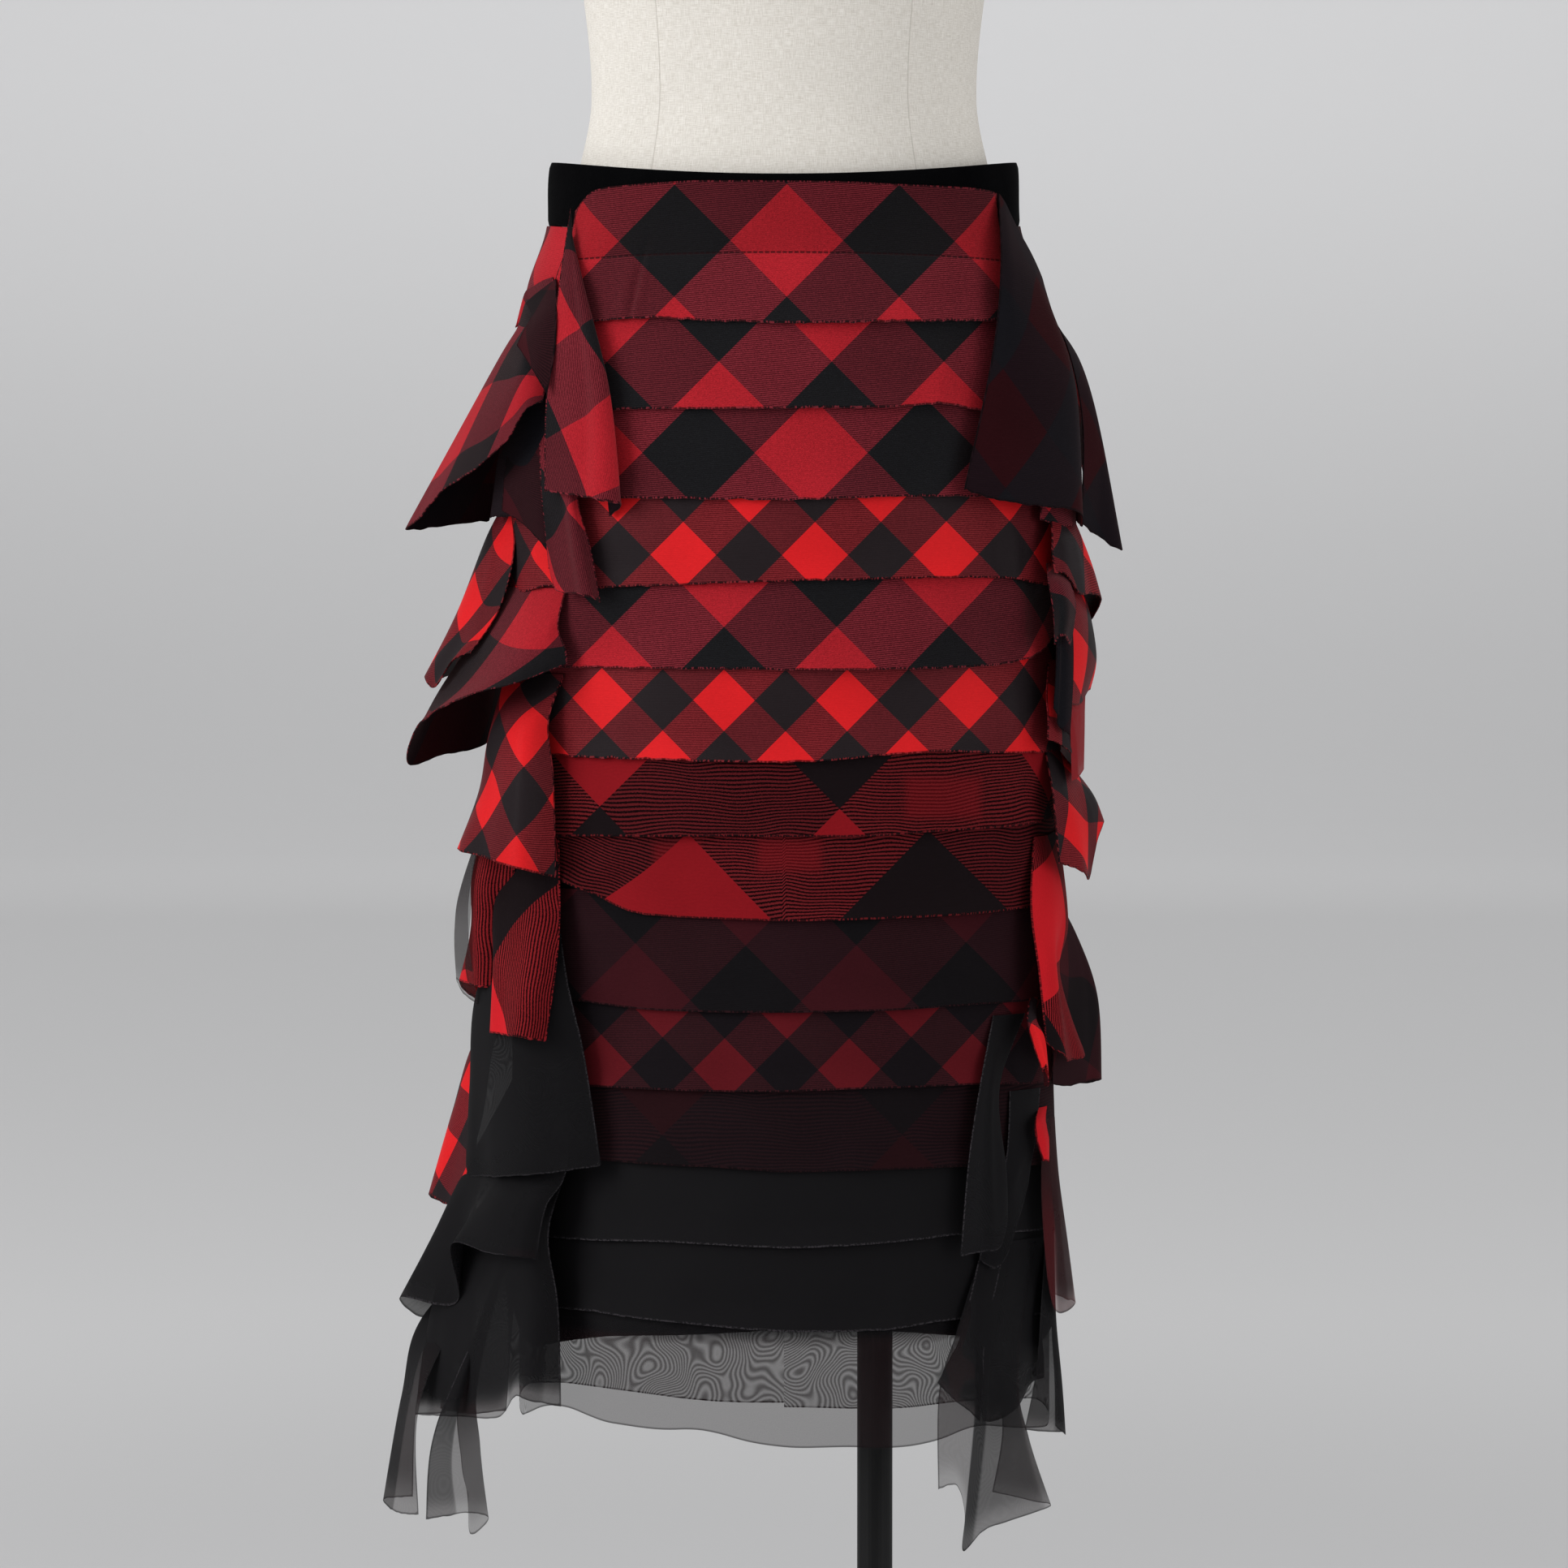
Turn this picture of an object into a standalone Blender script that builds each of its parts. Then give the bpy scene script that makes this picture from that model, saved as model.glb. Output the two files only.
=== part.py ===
# Ruffle skirt on a limbless dress form.
# A straight midi skirt: a velvet waistband, a checked hip yoke and a sheer underskirt, with thirteen
# bias-cut strips sewn across the front and thirteen across the back, each lapping the one below.
# The strips' loose ends hang down at both sides. The skirt rests on the form's hips.
# Metres, +Z up, the front faces -Y. The origin is the middle of the base plate's underside.
# A place on the body is given as a turn in degrees (0 front, 90 the right side, 180 back),
# a height, and how far it stands out from the cloth's outer skin.

import math
from collections import namedtuple

import bmesh
import bpy
from mathutils import Vector

MM = 0.001

# Driving dimensions
CLOTH = 1.0 * MM               # wall of every cloth
BAND_WALL = 1.5 * MM           # velvet waistband, two layers
SEAM_GAP = 0.3 * MM            # between pieces that are sewn edge to edge
SKIN_GAP = 0.4 * MM            # between a strip and what it lies on
LAP = 15 * MM                  # how far each strip reaches up under the one above
LAP_LIFT = 1.8 * MM            # a strip's inner face where it passes over the next one
STRIP_FLARE = 2.5 * MM         # the further lift of a strip's raw edge
FLARE_WAVE = 0.8 * MM          # and how much that lift swings along the edge
EDGE_WAVE = 1.2 * MM           # a raw edge's rise and fall
EDGE_WAVES = 4                 # the number of those waves round the whole body
EDGE_SHIFT = 1.7               # radians between the waves of one strip and of the next
RISE_POWER = 4                 # how late a front strip's edge turns up or down towards its ends
BAND_TOP = 0.993
BAND_HEIGHT = 0.037
BAND_DIP = 0.009               # the waist is this much lower at centre front
FIRST_STRIP_TOP = 0.9797
FIRST_STITCH = 0.9385          # the line that sews the first strip down
HEM_SIDE = 0.262               # the hem's height at the side seams
HEM_DIP = 0.018                # and how much lower it is at centre front and back
HEM_WAVE = 1.5 * MM
HEM_WAVES = 7                  # the number of the hem's waves round the body
HEM_SHIFT = 1.0                # radians from centre front to where they start
YOKE_BOTTOM_LINE = 4           # the yoke ends behind this strip's seam
COLUMN_STEP = 10               # degrees between the columns of points
STRIP_END = 66                 # where most front strips end, in degrees either side of the front

POLE_RADIUS = 0.0105
POLE_X = 0.054                 # the pole stands to the right of the form's middle
FLANGE_RADIUS = 0.030
FLANGE_HEIGHT = 0.008
BASE_RADIUS = 0.175
BASE_HEIGHT = 0.006
FORM_BOTTOM = 0.700
FORM_GAP = 0.3 * MM            # between the form's hips and the cloth on them
NECK_TOP = 1.485
CAP_HEIGHT = 0.018
ROUND_STEPS = 32               # sides of the pole and the base
SHARP_ANGLE = 40               # degrees between faces that keep a sharp edge

# The cloth's outer skin: half width, and depth in front of and behind the middle
Level = namedtuple("Level", "height side front back")
SKIN_LEVELS = (
    Level(0.993, 0.1380, 0.095, 0.105),
    Level(0.956, 0.1395, 0.098, 0.110),
    Level(0.920, 0.1515, 0.106, 0.123),
    Level(0.880, 0.1580, 0.112, 0.130),
    Level(0.840, 0.1610, 0.115, 0.132),
    Level(0.760, 0.1630, 0.116, 0.132),
    Level(0.600, 0.1600, 0.116, 0.126),
    Level(0.400, 0.1580, 0.117, 0.122),
    Level(0.245, 0.1580, 0.120, 0.122),
)

# The dress form above the hips
FORM_LEVELS = (
    Level(1.485, 0.056, 0.050, 0.052),
    Level(1.455, 0.060, 0.052, 0.056),
    Level(1.437, 0.096, 0.056, 0.062),
    Level(1.415, 0.138, 0.064, 0.070),
    Level(1.385, 0.160, 0.078, 0.080),
    Level(1.340, 0.158, 0.098, 0.091),
    Level(1.280, 0.147, 0.115, 0.094),
    Level(1.220, 0.139, 0.118, 0.093),
    Level(1.150, 0.129, 0.099, 0.090),
    Level(1.089, 0.118, 0.085, 0.088),
    Level(1.030, 0.1134, 0.081, 0.087),
    Level(0.993, 0.1198, 0.084, 0.091),
    Level(0.955, 0.1310, 0.090, 0.100),
)
# The neck cap from its foot up: scale of the neck, part of the cap's height
CAP_SHAPE = ((1.0, 0), (1.04, 0.3), (1.0, 0.75), (0.8, 1.0))
# Under the skirt the form follows the cloth at its seam lines, this far inside its outer skin
HipRow = namedtuple("HipRow", "line inset")
HIP_ROWS = (
    HipRow(2, 4.0 * MM),
    HipRow(3, CLOTH + FORM_GAP),
    HipRow(4, CLOTH + FORM_GAP),
    HipRow(5, CLOTH + FORM_GAP),
    HipRow(6, 9.0 * MM),
)
FORM_FOOT_INSET = 26 * MM

# Strips from the waist down: the height of the lower raw edge, the turns of the two ends,
# and how much the edge rises towards them in millimetres
Strip = namedtuple("Strip", "edge left right left_rise right_rise cloth")
FRONT_STRIPS = (
    Strip(0.8975, -55, 62, 1, 1, "large_check"),
    Strip(0.8476, -STRIP_END, STRIP_END, 0, 3, "large_check"),
    Strip(0.7972, -STRIP_END, STRIP_END, 1, 0, "large_check"),
    Strip(0.7482, -80, STRIP_END, 0, 2, "small_check"),
    Strip(0.6982, -STRIP_END, STRIP_END, 0, 3, "large_check"),
    Strip(0.6457, -STRIP_END, STRIP_END, 0, 0, "small_check"),
    Strip(0.6022, -STRIP_END, STRIP_END, 0, 6, "sheer_check"),
    Strip(0.5538, -STRIP_END, STRIP_END, 12, 5, "sheer_check"),
    Strip(0.4998, -STRIP_END, STRIP_END, 3, 3, "veiled_check"),
    Strip(0.4542, -STRIP_END, STRIP_END, 2, 1, "veiled_check"),
    Strip(0.4081, -STRIP_END, STRIP_END, 4, 1, "veiled_check"),
    Strip(0.3638, -STRIP_END, STRIP_END, 2, 4, "black_sheer"),
    Strip(0.3161, -STRIP_END, STRIP_END, 5, 2, "black_sheer"),
)
BACK_FIRST_EDGE = 0.8975
BACK_LAST_EDGE = 0.2860
BACK_STRIP_TOP = 0.988
BACK_END = 64                  # where the back strips end, in degrees either side of the back
BLEND_FROM = 82                # between these turns the seam lines slope to the back's heights
BLEND_TO = 114

# Loose ends: one row for each line down the cloth, from its front edge round to its back edge.
# A line runs from its root to its tip. Turns are degrees away from the front, the rest millimetres.
Line = namedtuple("Line", "root_turn root_height root_out tip_turn tip_height tip_out")
LEFT_ENDS = (
    ("large_check", 1.0, (
        Line(60, 964, 3.0, 50, 801, 20),
        Line(58, 960, 3.8, 42, 797, 26),
        Line(56, 955, 4.6, 32, 789, 25),
        Line(54.5, 950, 4.2, 37, 792, 15))),
    ("large_check", 1.0, (
        Line(61, 925, 3.0, 62, 855, 9),
        Line(66, 922, 3.0, 62, 822, 30),
        Line(74, 918, 2.5, 82, 777, 62),
        Line(86, 914, 1.6, 98, 781, 44),
        Line(98, 910, 1.2, 112, 785, 16))),
    ("large_check", 1.0, (
        Line(74, 845, 1.2, 72, 791, 12),
        Line(62, 844, 3.1, 57, 782, 13),
        Line(54, 844, 3.0, 51, 743, 15),
        Line(47, 844, 3.0, 43, 738, 18),
        Line(40, 844, 3.0, 36, 733, 18))),
    ("small_check", 1.0, (
        Line(86, 795, 1.2, 85, 694, 40),
        Line(91, 793, 1.2, 92, 700, 49),
        Line(100, 791, 1.2, 105, 702, 40),
        Line(110, 788, 1.2, 118, 708, 20))),
    ("large_check", 1.0, (
        Line(52, 744, 3.0, 49, 701, 10),
        Line(60, 744, 3.1, 62, 690, 15),
        Line(68, 744, 3.3, 72, 680, 34),
        Line(77, 744, 2.0, 83, 640, 62),
        Line(88, 743, 1.2, 98, 648, 42),
        Line(100, 741, 1.2, 112, 655, 14))),
    ("small_check", 1.0, (
        Line(50, 694, 3.0, 49, 577, 15),
        Line(59, 694, 3.1, 59, 581, 17),
        Line(68, 694, 3.4, 71, 586, 21),
        Line(78, 695, 1.2, 86, 588, 33),
        Line(90, 695, 1.2, 98, 588, 26))),
    ("sheer_check", 1.0, (
        Line(72, 650, 1.2, 77, 509, 15),
        Line(80, 650, 1.2, 84, 510, 25),
        Line(89, 648, 1.2, 92, 512, 33),
        Line(100, 645, 1.2, 106, 506, 24),
        Line(110, 642, 1.2, 115, 500, 13))),
    ("sheer_check", 1.0, (
        Line(50, 598, 3.0, 52, 480, 19),
        Line(59, 598, 3.1, 60, 479, 18),
        Line(68, 598, 3.4, 70, 480, 17),
        Line(76, 600, 1.2, 80, 481, 14))),
    ("black_sheer", 1.0, (
        Line(52, 549, 3.0, 35, 411, 25),
        Line(60, 549, 3.1, 47, 403, 25),
        Line(68, 549, 3.4, 62, 399, 23),
        Line(77, 551, 1.2, 80, 396, 22))),
    ("small_check", 1.0, (
        Line(85, 512, 1.2, 86, 390, 40),
        Line(91, 510, 1.2, 92, 384, 52),
        Line(99, 508, 1.2, 102, 374, 44),
        Line(108, 505, 1.2, 117, 380, 20))),
    ("black_sheer", 1.4, (
        Line(51, 450, 3.0, 54, 351, 18),
        Line(60, 450, 3.1, 65, 352, 20),
        Line(68, 450, 3.4, 76, 354, 24),
        Line(78, 452, 1.2, 86, 331, 46),
        Line(89, 452, 1.2, 91, 322, 68),
        Line(98, 450, 1.2, 104, 318, 44))),
    ("black_sheer", 1.0, (
        Line(52, 404, 3.0, 49, 267, 18),
        Line(60, 404, 3.1, 61, 268, 19),
        Line(68, 404, 3.4, 73, 256, 19),
        Line(79, 406, 1.2, 85, 250, 34),
        Line(91, 405, 1.2, 94, 250, 60))),
    ("black_sheer", 1.2, (
        Line(76, 364, 1.2, 78, 194, 20),
        Line(81, 364, 1.2, 83, 184, 30),
        Line(86, 363, 1.2, 88, 196, 44),
        Line(91, 362, 1.2, 91, 190, 58),
        Line(97, 360, 1.2, 95, 198, 80))),
)
RIGHT_ENDS = (
    ("large_check", 1.0, (
        Line(64, 972, 2.3, 35, 803, 20),
        Line(68, 965, 1.8, 41, 798, 23),
        Line(73, 955, 1.5, 48, 793, 22),
        Line(80, 940, 1.3, 58, 790, 24),
        Line(88, 925, 1.2, 70, 784, 22))),
    ("large_check", 1.0, (
        Line(94, 905, 1.0, 86, 780, 24),
        Line(99, 905, 1.0, 89, 765, 38),
        Line(105, 903, 1.0, 102, 770, 34),
        Line(111, 900, 1.0, 114, 775, 18))),
    ("large_check", 1.0, (
        Line(70, 850, 1.2, 68, 777, 10),
        Line(77, 850, 1.2, 80, 772, 14),
        Line(87, 848, 1.2, 92, 776, 18),
        Line(98, 846, 1.2, 104, 780, 14))),
    ("small_check", 1.0, (
        Line(70, 800, 1.2, 69, 752, 9),
        Line(77, 800, 1.2, 80, 742, 16),
        Line(85, 799, 1.2, 90, 737, 26),
        Line(95, 797, 1.2, 102, 742, 18),
        Line(105, 795, 1.2, 113, 748, 9))),
    ("large_check", 1.0, (
        Line(70, 751, 1.2, 69, 706, 9),
        Line(77, 751, 1.2, 80, 690, 18),
        Line(85, 750, 1.2, 90, 684, 23),
        Line(95, 748, 1.2, 100, 640, 20),
        Line(105, 746, 1.2, 112, 650, 10))),
    ("small_check", 1.0, (
        Line(70, 701, 1.2, 66, 655, 10),
        Line(77, 701, 1.2, 76, 643, 12),
        Line(85, 699, 1.2, 88, 635, 16),
        Line(95, 697, 1.2, 101, 628, 13),
        Line(105, 695, 1.2, 112, 632, 9))),
    ("small_check", 1.0, (
        Line(70, 648, 1.2, 67, 582, 12),
        Line(77, 648, 1.2, 78, 576, 15),
        Line(83, 647, 1.2, 87, 572, 21),
        Line(91, 646, 1.2, 93, 604, 30),
        Line(101, 644, 1.2, 108, 600, 16))),
    ("sheer_check", 1.0, (
        Line(61, 598, 3.1, 61, 476, 16),
        Line(68, 598, 3.4, 69, 466, 17),
        Line(77, 600, 1.2, 81, 465, 20),
        Line(87, 600, 1.2, 92, 470, 18))),
    ("veiled_check", 0.8, (
        Line(97, 556, 1.2, 97, 452, 30),
        Line(104, 555, 1.2, 106, 450, 28),
        Line(111, 554, 1.2, 117, 455, 14))),
    ("black_sheer", 1.0, (
        Line(48, 495, 3.0, 35, 358, 22),
        Line(51, 495, 3.0, 41, 360, 24),
        Line(56, 495, 3.0, 47, 364, 19))),
    ("black_sheer", 1.0, (
        Line(55, 450, 3.0, 41, 354, 14),
        Line(59, 450, 3.1, 47, 350, 15),
        Line(64, 450, 3.3, 53, 380, 14),
        Line(69, 450, 3.2, 61, 408, 11))),
    ("veiled_check", 1.0, (
        Line(73, 430, 1.2, 66, 331, 14),
        Line(80, 430, 1.2, 73, 325, 18),
        Line(88, 429, 1.2, 85, 327, 17),
        Line(98, 428, 1.2, 98, 330, 14),
        Line(107, 427, 1.2, 109, 336, 9))),
    ("black_sheer", 1.0, (
        Line(46, 359, 3.0, 30, 225, 20),
        Line(51, 359, 3.0, 33, 190, 34),
        Line(57, 359, 3.1, 46, 202, 28),
        Line(63, 359, 3.3, 58, 207, 24),
        Line(69, 360, 3.2, 65, 247, 22),
        Line(82, 362, 1.2, 84, 252, 16),
        Line(97, 361, 1.2, 101, 256, 13))),
)
CELLS_PER_LINE = 2             # columns of faces between two lines of a loose end
CELLS_DOWN = 5                 # rows of faces from root to tip

# Base colour, roughness and metallic value of each finish
FINISHES = {
    "velvet": ((0.004, 0.004, 0.005), 0.95, 0.0),
    "large_check": ((0.16, 0.012, 0.016), 0.75, 0.0),
    "small_check": ((0.25, 0.015, 0.012), 0.45, 0.0),
    "sheer_check": ((0.10, 0.008, 0.010), 0.80, 0.0),
    "veiled_check": ((0.04, 0.006, 0.008), 0.80, 0.0),
    "black_sheer": ((0.006, 0.006, 0.007), 0.80, 0.0),
    "linen": ((0.75, 0.70, 0.63), 0.85, 0.0),
    "pale_wood": ((0.45, 0.28, 0.14), 0.5, 0.0),
    "black_steel": ((0.02, 0.02, 0.022), 0.45, 0.3),
}


# Helpers for places on the body

def smooth_level(levels, height):
    # half width and depths at a height, on a smooth curve through the table's rows
    rows = sorted(levels)
    height = min(max(height, rows[0].height), rows[-1].height)
    spot = next(k for k in range(1, len(rows)) if height <= rows[k].height)
    low, high = rows[spot - 1], rows[spot]
    before, after = rows[max(spot - 2, 0)], rows[min(spot + 1, len(rows) - 1)]
    span = high.height - low.height
    t = (height - low.height) / span
    values = []
    for column in (1, 2, 3):
        slope_low = (high[column] - before[column]) / (high.height - before.height)
        slope_high = (after[column] - low[column]) / (after.height - low.height)
        values.append((2 * t ** 3 - 3 * t ** 2 + 1) * low[column]
                      + (t ** 3 - 2 * t ** 2 + t) * span * slope_low
                      + (3 * t ** 2 - 2 * t ** 3) * high[column]
                      + (t ** 3 - t ** 2) * span * slope_high)
    return values


def ellipse_point(side, front, back, turn, height, out):
    angle = math.radians(turn)
    across, ahead = math.sin(angle), math.cos(angle)
    depth = front if ahead > 0 else back
    normal = Vector((depth * across, -side * ahead, 0)).normalized()
    return Vector((side * across, -depth * ahead, height)) + normal * out


def skin_point(turn, height, out):
    side, front, back = smooth_level(SKIN_LEVELS, height)
    return ellipse_point(side, front, back, turn, height, out)


def around(first, last):
    # turns from one end to the other, on the shared columns between them
    columns = full_circle() + [turn - 360 for turn in full_circle()] + [-STRIP_END, STRIP_END]
    return [first] + sorted(turn for turn in columns if first < turn < last) + [last]


def full_circle():
    return [k * COLUMN_STEP for k in range(360 // COLUMN_STEP)]


# Seam lines: strip n is sewn along line n

def back_edge(index):
    return BACK_FIRST_EDGE + (BACK_LAST_EDGE - BACK_FIRST_EDGE) * index / (len(FRONT_STRIPS) - 1)


def seam_line(number, turn):
    # from centre front (0) to centre back (180), sloping at the sides
    away = abs((turn + 180) % 360 - 180)
    if number == 1:
        return FIRST_STITCH
    t = min(max((away - BLEND_FROM) / (BLEND_TO - BLEND_FROM), 0), 1)
    t = t * t * (3 - 2 * t)
    front = FRONT_STRIPS[number - 2].edge + LAP
    return front + (back_edge(number - 2) + LAP - front) * t


def waist_dip(turn):
    return BAND_DIP * max(math.cos(math.radians(turn)), 0) ** 2


def hem_height(turn):
    angle = math.radians(turn)
    return HEM_SIDE - HEM_DIP * math.cos(angle) ** 2 + HEM_WAVE * math.sin(HEM_WAVES * angle + HEM_SHIFT)


# Helpers for meshes

def make_object(name, mesh, finish):
    colour, roughness, metallic = FINISHES[finish]
    material = bpy.data.materials.new(f"{name}_{finish}")
    material.use_nodes = True
    shader = material.node_tree.nodes["Principled BSDF"]
    shader.inputs["Base Color"].default_value = (*colour, 1)
    shader.inputs["Roughness"].default_value = roughness
    shader.inputs["Metallic"].default_value = metallic
    mesh.materials.append(material)
    mesh.shade_smooth()
    mesh.set_sharp_from_angle(angle=math.radians(SHARP_ANGLE))
    piece = bpy.data.objects.new(name, mesh)
    bpy.context.collection.objects.link(piece)
    return piece


def to_mesh(name, bm):
    mesh = bpy.data.meshes.new(name)
    bm.to_mesh(mesh)
    bm.free()
    return mesh


def grid_faces(bm, rows, closed):
    # rows run down the body and their points run round it, so that faces point outwards
    grid = [[bm.verts.new(point) for point in row] for row in rows]
    width = len(rows[0])
    for upper, lower in zip(grid, grid[1:]):
        for k in range(width if closed else width - 1):
            following = (k + 1) % width
            bm.faces.new((upper[k], lower[k], lower[following], upper[following]))
    return grid


def cloth(name, rows, finish, closed=False, wall=CLOTH, side=1):
    # a sheet of points given its wall: side 1 outwards, -1 inwards, 0 both ways
    bm = bmesh.new()
    grid_faces(bm, rows, closed)
    piece = make_object(name, to_mesh(name, bm), finish)
    solidify = piece.modifiers.new("wall", "SOLIDIFY")
    solidify.thickness = wall
    solidify.offset = side
    solidify.use_even_offset = side != 0
    return piece


def turned(name, profile, centre_x, finish):
    # a profile of (radius, height) pairs spun round an upright axis
    bm = bmesh.new()
    points = [bm.verts.new((centre_x + radius, 0, height)) for radius, height in profile]
    edges = [bm.edges.new(pair) for pair in zip(points, points[1:])]
    bmesh.ops.spin(bm, geom=points + edges, cent=(centre_x, 0, 0), axis=(0, 0, 1),
                   angle=math.tau, steps=ROUND_STEPS, use_duplicate=False)
    bmesh.ops.remove_doubles(bm, verts=bm.verts, dist=1e-6)
    bmesh.ops.recalc_face_normals(bm, faces=bm.faces)
    return make_object(name, to_mesh(name, bm), finish)


# The dress form and its stand

def dress_form():
    turns = full_circle()
    rows = []
    for level in FORM_LEVELS:
        rows.append([ellipse_point(level.side, level.front, level.back, turn, level.height, 0)
                     for turn in turns])
    for row in HIP_ROWS:
        rows.append([skin_point(turn, seam_line(row.line, turn), -row.inset) for turn in turns])
    rows.append([skin_point(turn, FORM_BOTTOM, -FORM_FOOT_INSET) for turn in turns])
    bm = bmesh.new()
    grid = grid_faces(bm, rows, closed=True)
    bm.faces.new(grid[0])
    bm.faces.new(list(reversed(grid[-1])))
    return make_object("form_torso", to_mesh("form_torso", bm), "linen")


def neck_cap():
    neck = FORM_LEVELS[0]
    bottom = NECK_TOP + FORM_GAP
    rows = []
    for scale, part in reversed(CAP_SHAPE):
        rows.append([ellipse_point(neck.side * scale, neck.front * scale, neck.back * scale, turn,
                                   bottom + CAP_HEIGHT * part, 0) for turn in full_circle()])
    bm = bmesh.new()
    grid = grid_faces(bm, rows, closed=True)
    bm.faces.new(grid[0])
    bm.faces.new(list(reversed(grid[-1])))
    return make_object("form_neck_cap", to_mesh("form_neck_cap", bm), "pale_wood")


def stand():
    edge = BASE_HEIGHT / 3
    turned("stand_base", (
        (0, BASE_HEIGHT),
        (BASE_RADIUS - edge, BASE_HEIGHT),
        (BASE_RADIUS, BASE_HEIGHT - edge),
        (BASE_RADIUS, 0),
        (0, 0)), 0, "black_steel")
    foot = BASE_HEIGHT + SEAM_GAP
    turned("stand_pole", (
        (0, FORM_BOTTOM - FORM_GAP),
        (POLE_RADIUS, FORM_BOTTOM - FORM_GAP),
        (POLE_RADIUS, foot + FLANGE_HEIGHT),
        (FLANGE_RADIUS, foot + FLANGE_HEIGHT),
        (FLANGE_RADIUS, foot),
        (0, foot)), POLE_X, "black_steel")


# The skirt's tubes

def waistband():
    rows = [[skin_point(turn, BAND_TOP - drop - waist_dip(turn), 0) for turn in full_circle()]
            for drop in (0, BAND_HEIGHT / 2, BAND_HEIGHT)]
    cloth("waistband", rows, "velvet", closed=True, wall=BAND_WALL, side=-1)


def hip_yoke():
    top = BAND_TOP - BAND_HEIGHT - SEAM_GAP
    rows = [[skin_point(turn, top - waist_dip(turn), 0) for turn in full_circle()]]
    for number in range(1, YOKE_BOTTOM_LINE):
        rows.append([skin_point(turn, seam_line(number, turn), 0) for turn in full_circle()])
    rows.append([skin_point(turn, seam_line(YOKE_BOTTOM_LINE, turn) + SEAM_GAP, 0)
                 for turn in full_circle()])
    cloth("hip_yoke", rows, "large_check", closed=True, side=-1)


def underskirt():
    last = len(FRONT_STRIPS) + 1
    rows = [[skin_point(turn, seam_line(number, turn), 0) for turn in full_circle()]
            for number in range(YOKE_BOTTOM_LINE, last + 1)]
    rows.append([skin_point(turn, hem_height(turn), 0) for turn in full_circle()])
    cloth("underskirt", rows, "black_sheer", closed=True, side=-1)


# The strips

def strip_sheet(index, edge, turns, rise, top):
    # rows of a strip: its top, the line where it starts to pass over the next strip, its raw edge
    rows = []
    if index == 0:
        rows.append([skin_point(turn, top, SKIN_GAP) for turn in turns])
    rows.append([skin_point(turn, seam_line(index + 1, turn), SKIN_GAP) for turn in turns])
    middle, lower = [], []
    for turn in turns:
        sway = math.sin(math.radians(turn) * EDGE_WAVES + index * EDGE_SHIFT)
        lift = rise(turn)
        middle.append(skin_point(turn, seam_line(index + 2, turn) + lift, LAP_LIFT))
        lower.append(skin_point(turn, edge + lift + EDGE_WAVE * sway,
                                LAP_LIFT + STRIP_FLARE - FLARE_WAVE * sway))
    return rows + [middle, lower]


def front_strips():
    for index, strip in enumerate(FRONT_STRIPS):
        def rise(turn, strip=strip):
            reach, most = (strip.left, strip.left_rise) if turn < 0 else (strip.right, strip.right_rise)
            return most * MM * (turn / reach) ** RISE_POWER
        turns = around(strip.left, strip.right)
        rows = strip_sheet(index, strip.edge, turns, rise, FIRST_STRIP_TOP)
        cloth(f"front_strip_{index + 1:02d}", rows, strip.cloth)


def back_strips():
    turns = around(180 - BACK_END, 180 + BACK_END)
    for index, strip in enumerate(FRONT_STRIPS):
        rows = strip_sheet(index, back_edge(index), turns, lambda turn: 0, BACK_STRIP_TOP)
        cloth(f"back_strip_{index + 1:02d}", rows, strip.cloth)


# The loose ends

def between(values, t):
    # a smooth curve through evenly spaced values, t from 0 to 1
    place = t * (len(values) - 1)
    k = min(int(place), len(values) - 2)
    u = place - k
    p0, p1, p2, p3 = (values[min(max(k + d, 0), len(values) - 1)] for d in (-1, 0, 1, 2))
    return p1 + 0.5 * u * (p2 - p0 + u * (2 * p0 - 5 * p1 + 4 * p2 - p3
                                          + u * (3 * (p1 - p2) + p3 - p0)))


def loose_end(name, side, finish, spread, lines):
    columns = CELLS_PER_LINE * (len(lines) - 1)
    rows = []
    for step in range(CELLS_DOWN + 1):
        down = step / CELLS_DOWN
        row = []
        for column in range(columns + 1):
            line = Line(*(between([one[k] for one in lines], column / columns) for k in range(6)))
            turn = line.root_turn + (line.tip_turn - line.root_turn) * down
            height = line.root_height + (line.tip_height - line.root_height) * down
            out = line.root_out + (line.tip_out - line.root_out) * down ** spread
            row.append(skin_point(side * turn, height * MM, out * MM))
        rows.append(row)
    cloth(name, rows, finish, side=0)


def loose_ends():
    for side, word, ends in ((-1, "left", LEFT_ENDS), (1, "right", RIGHT_ENDS)):
        for index, (finish, spread, lines) in enumerate(ends):
            loose_end(f"{word}_end_{index + 1:02d}", side, finish, spread, lines)


def main():
    for old in list(bpy.data.objects):
        bpy.data.objects.remove(old)
    dress_form()
    neck_cap()
    stand()
    waistband()
    hip_yoke()
    underskirt()
    front_strips()
    back_strips()
    loose_ends()


main()
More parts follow.
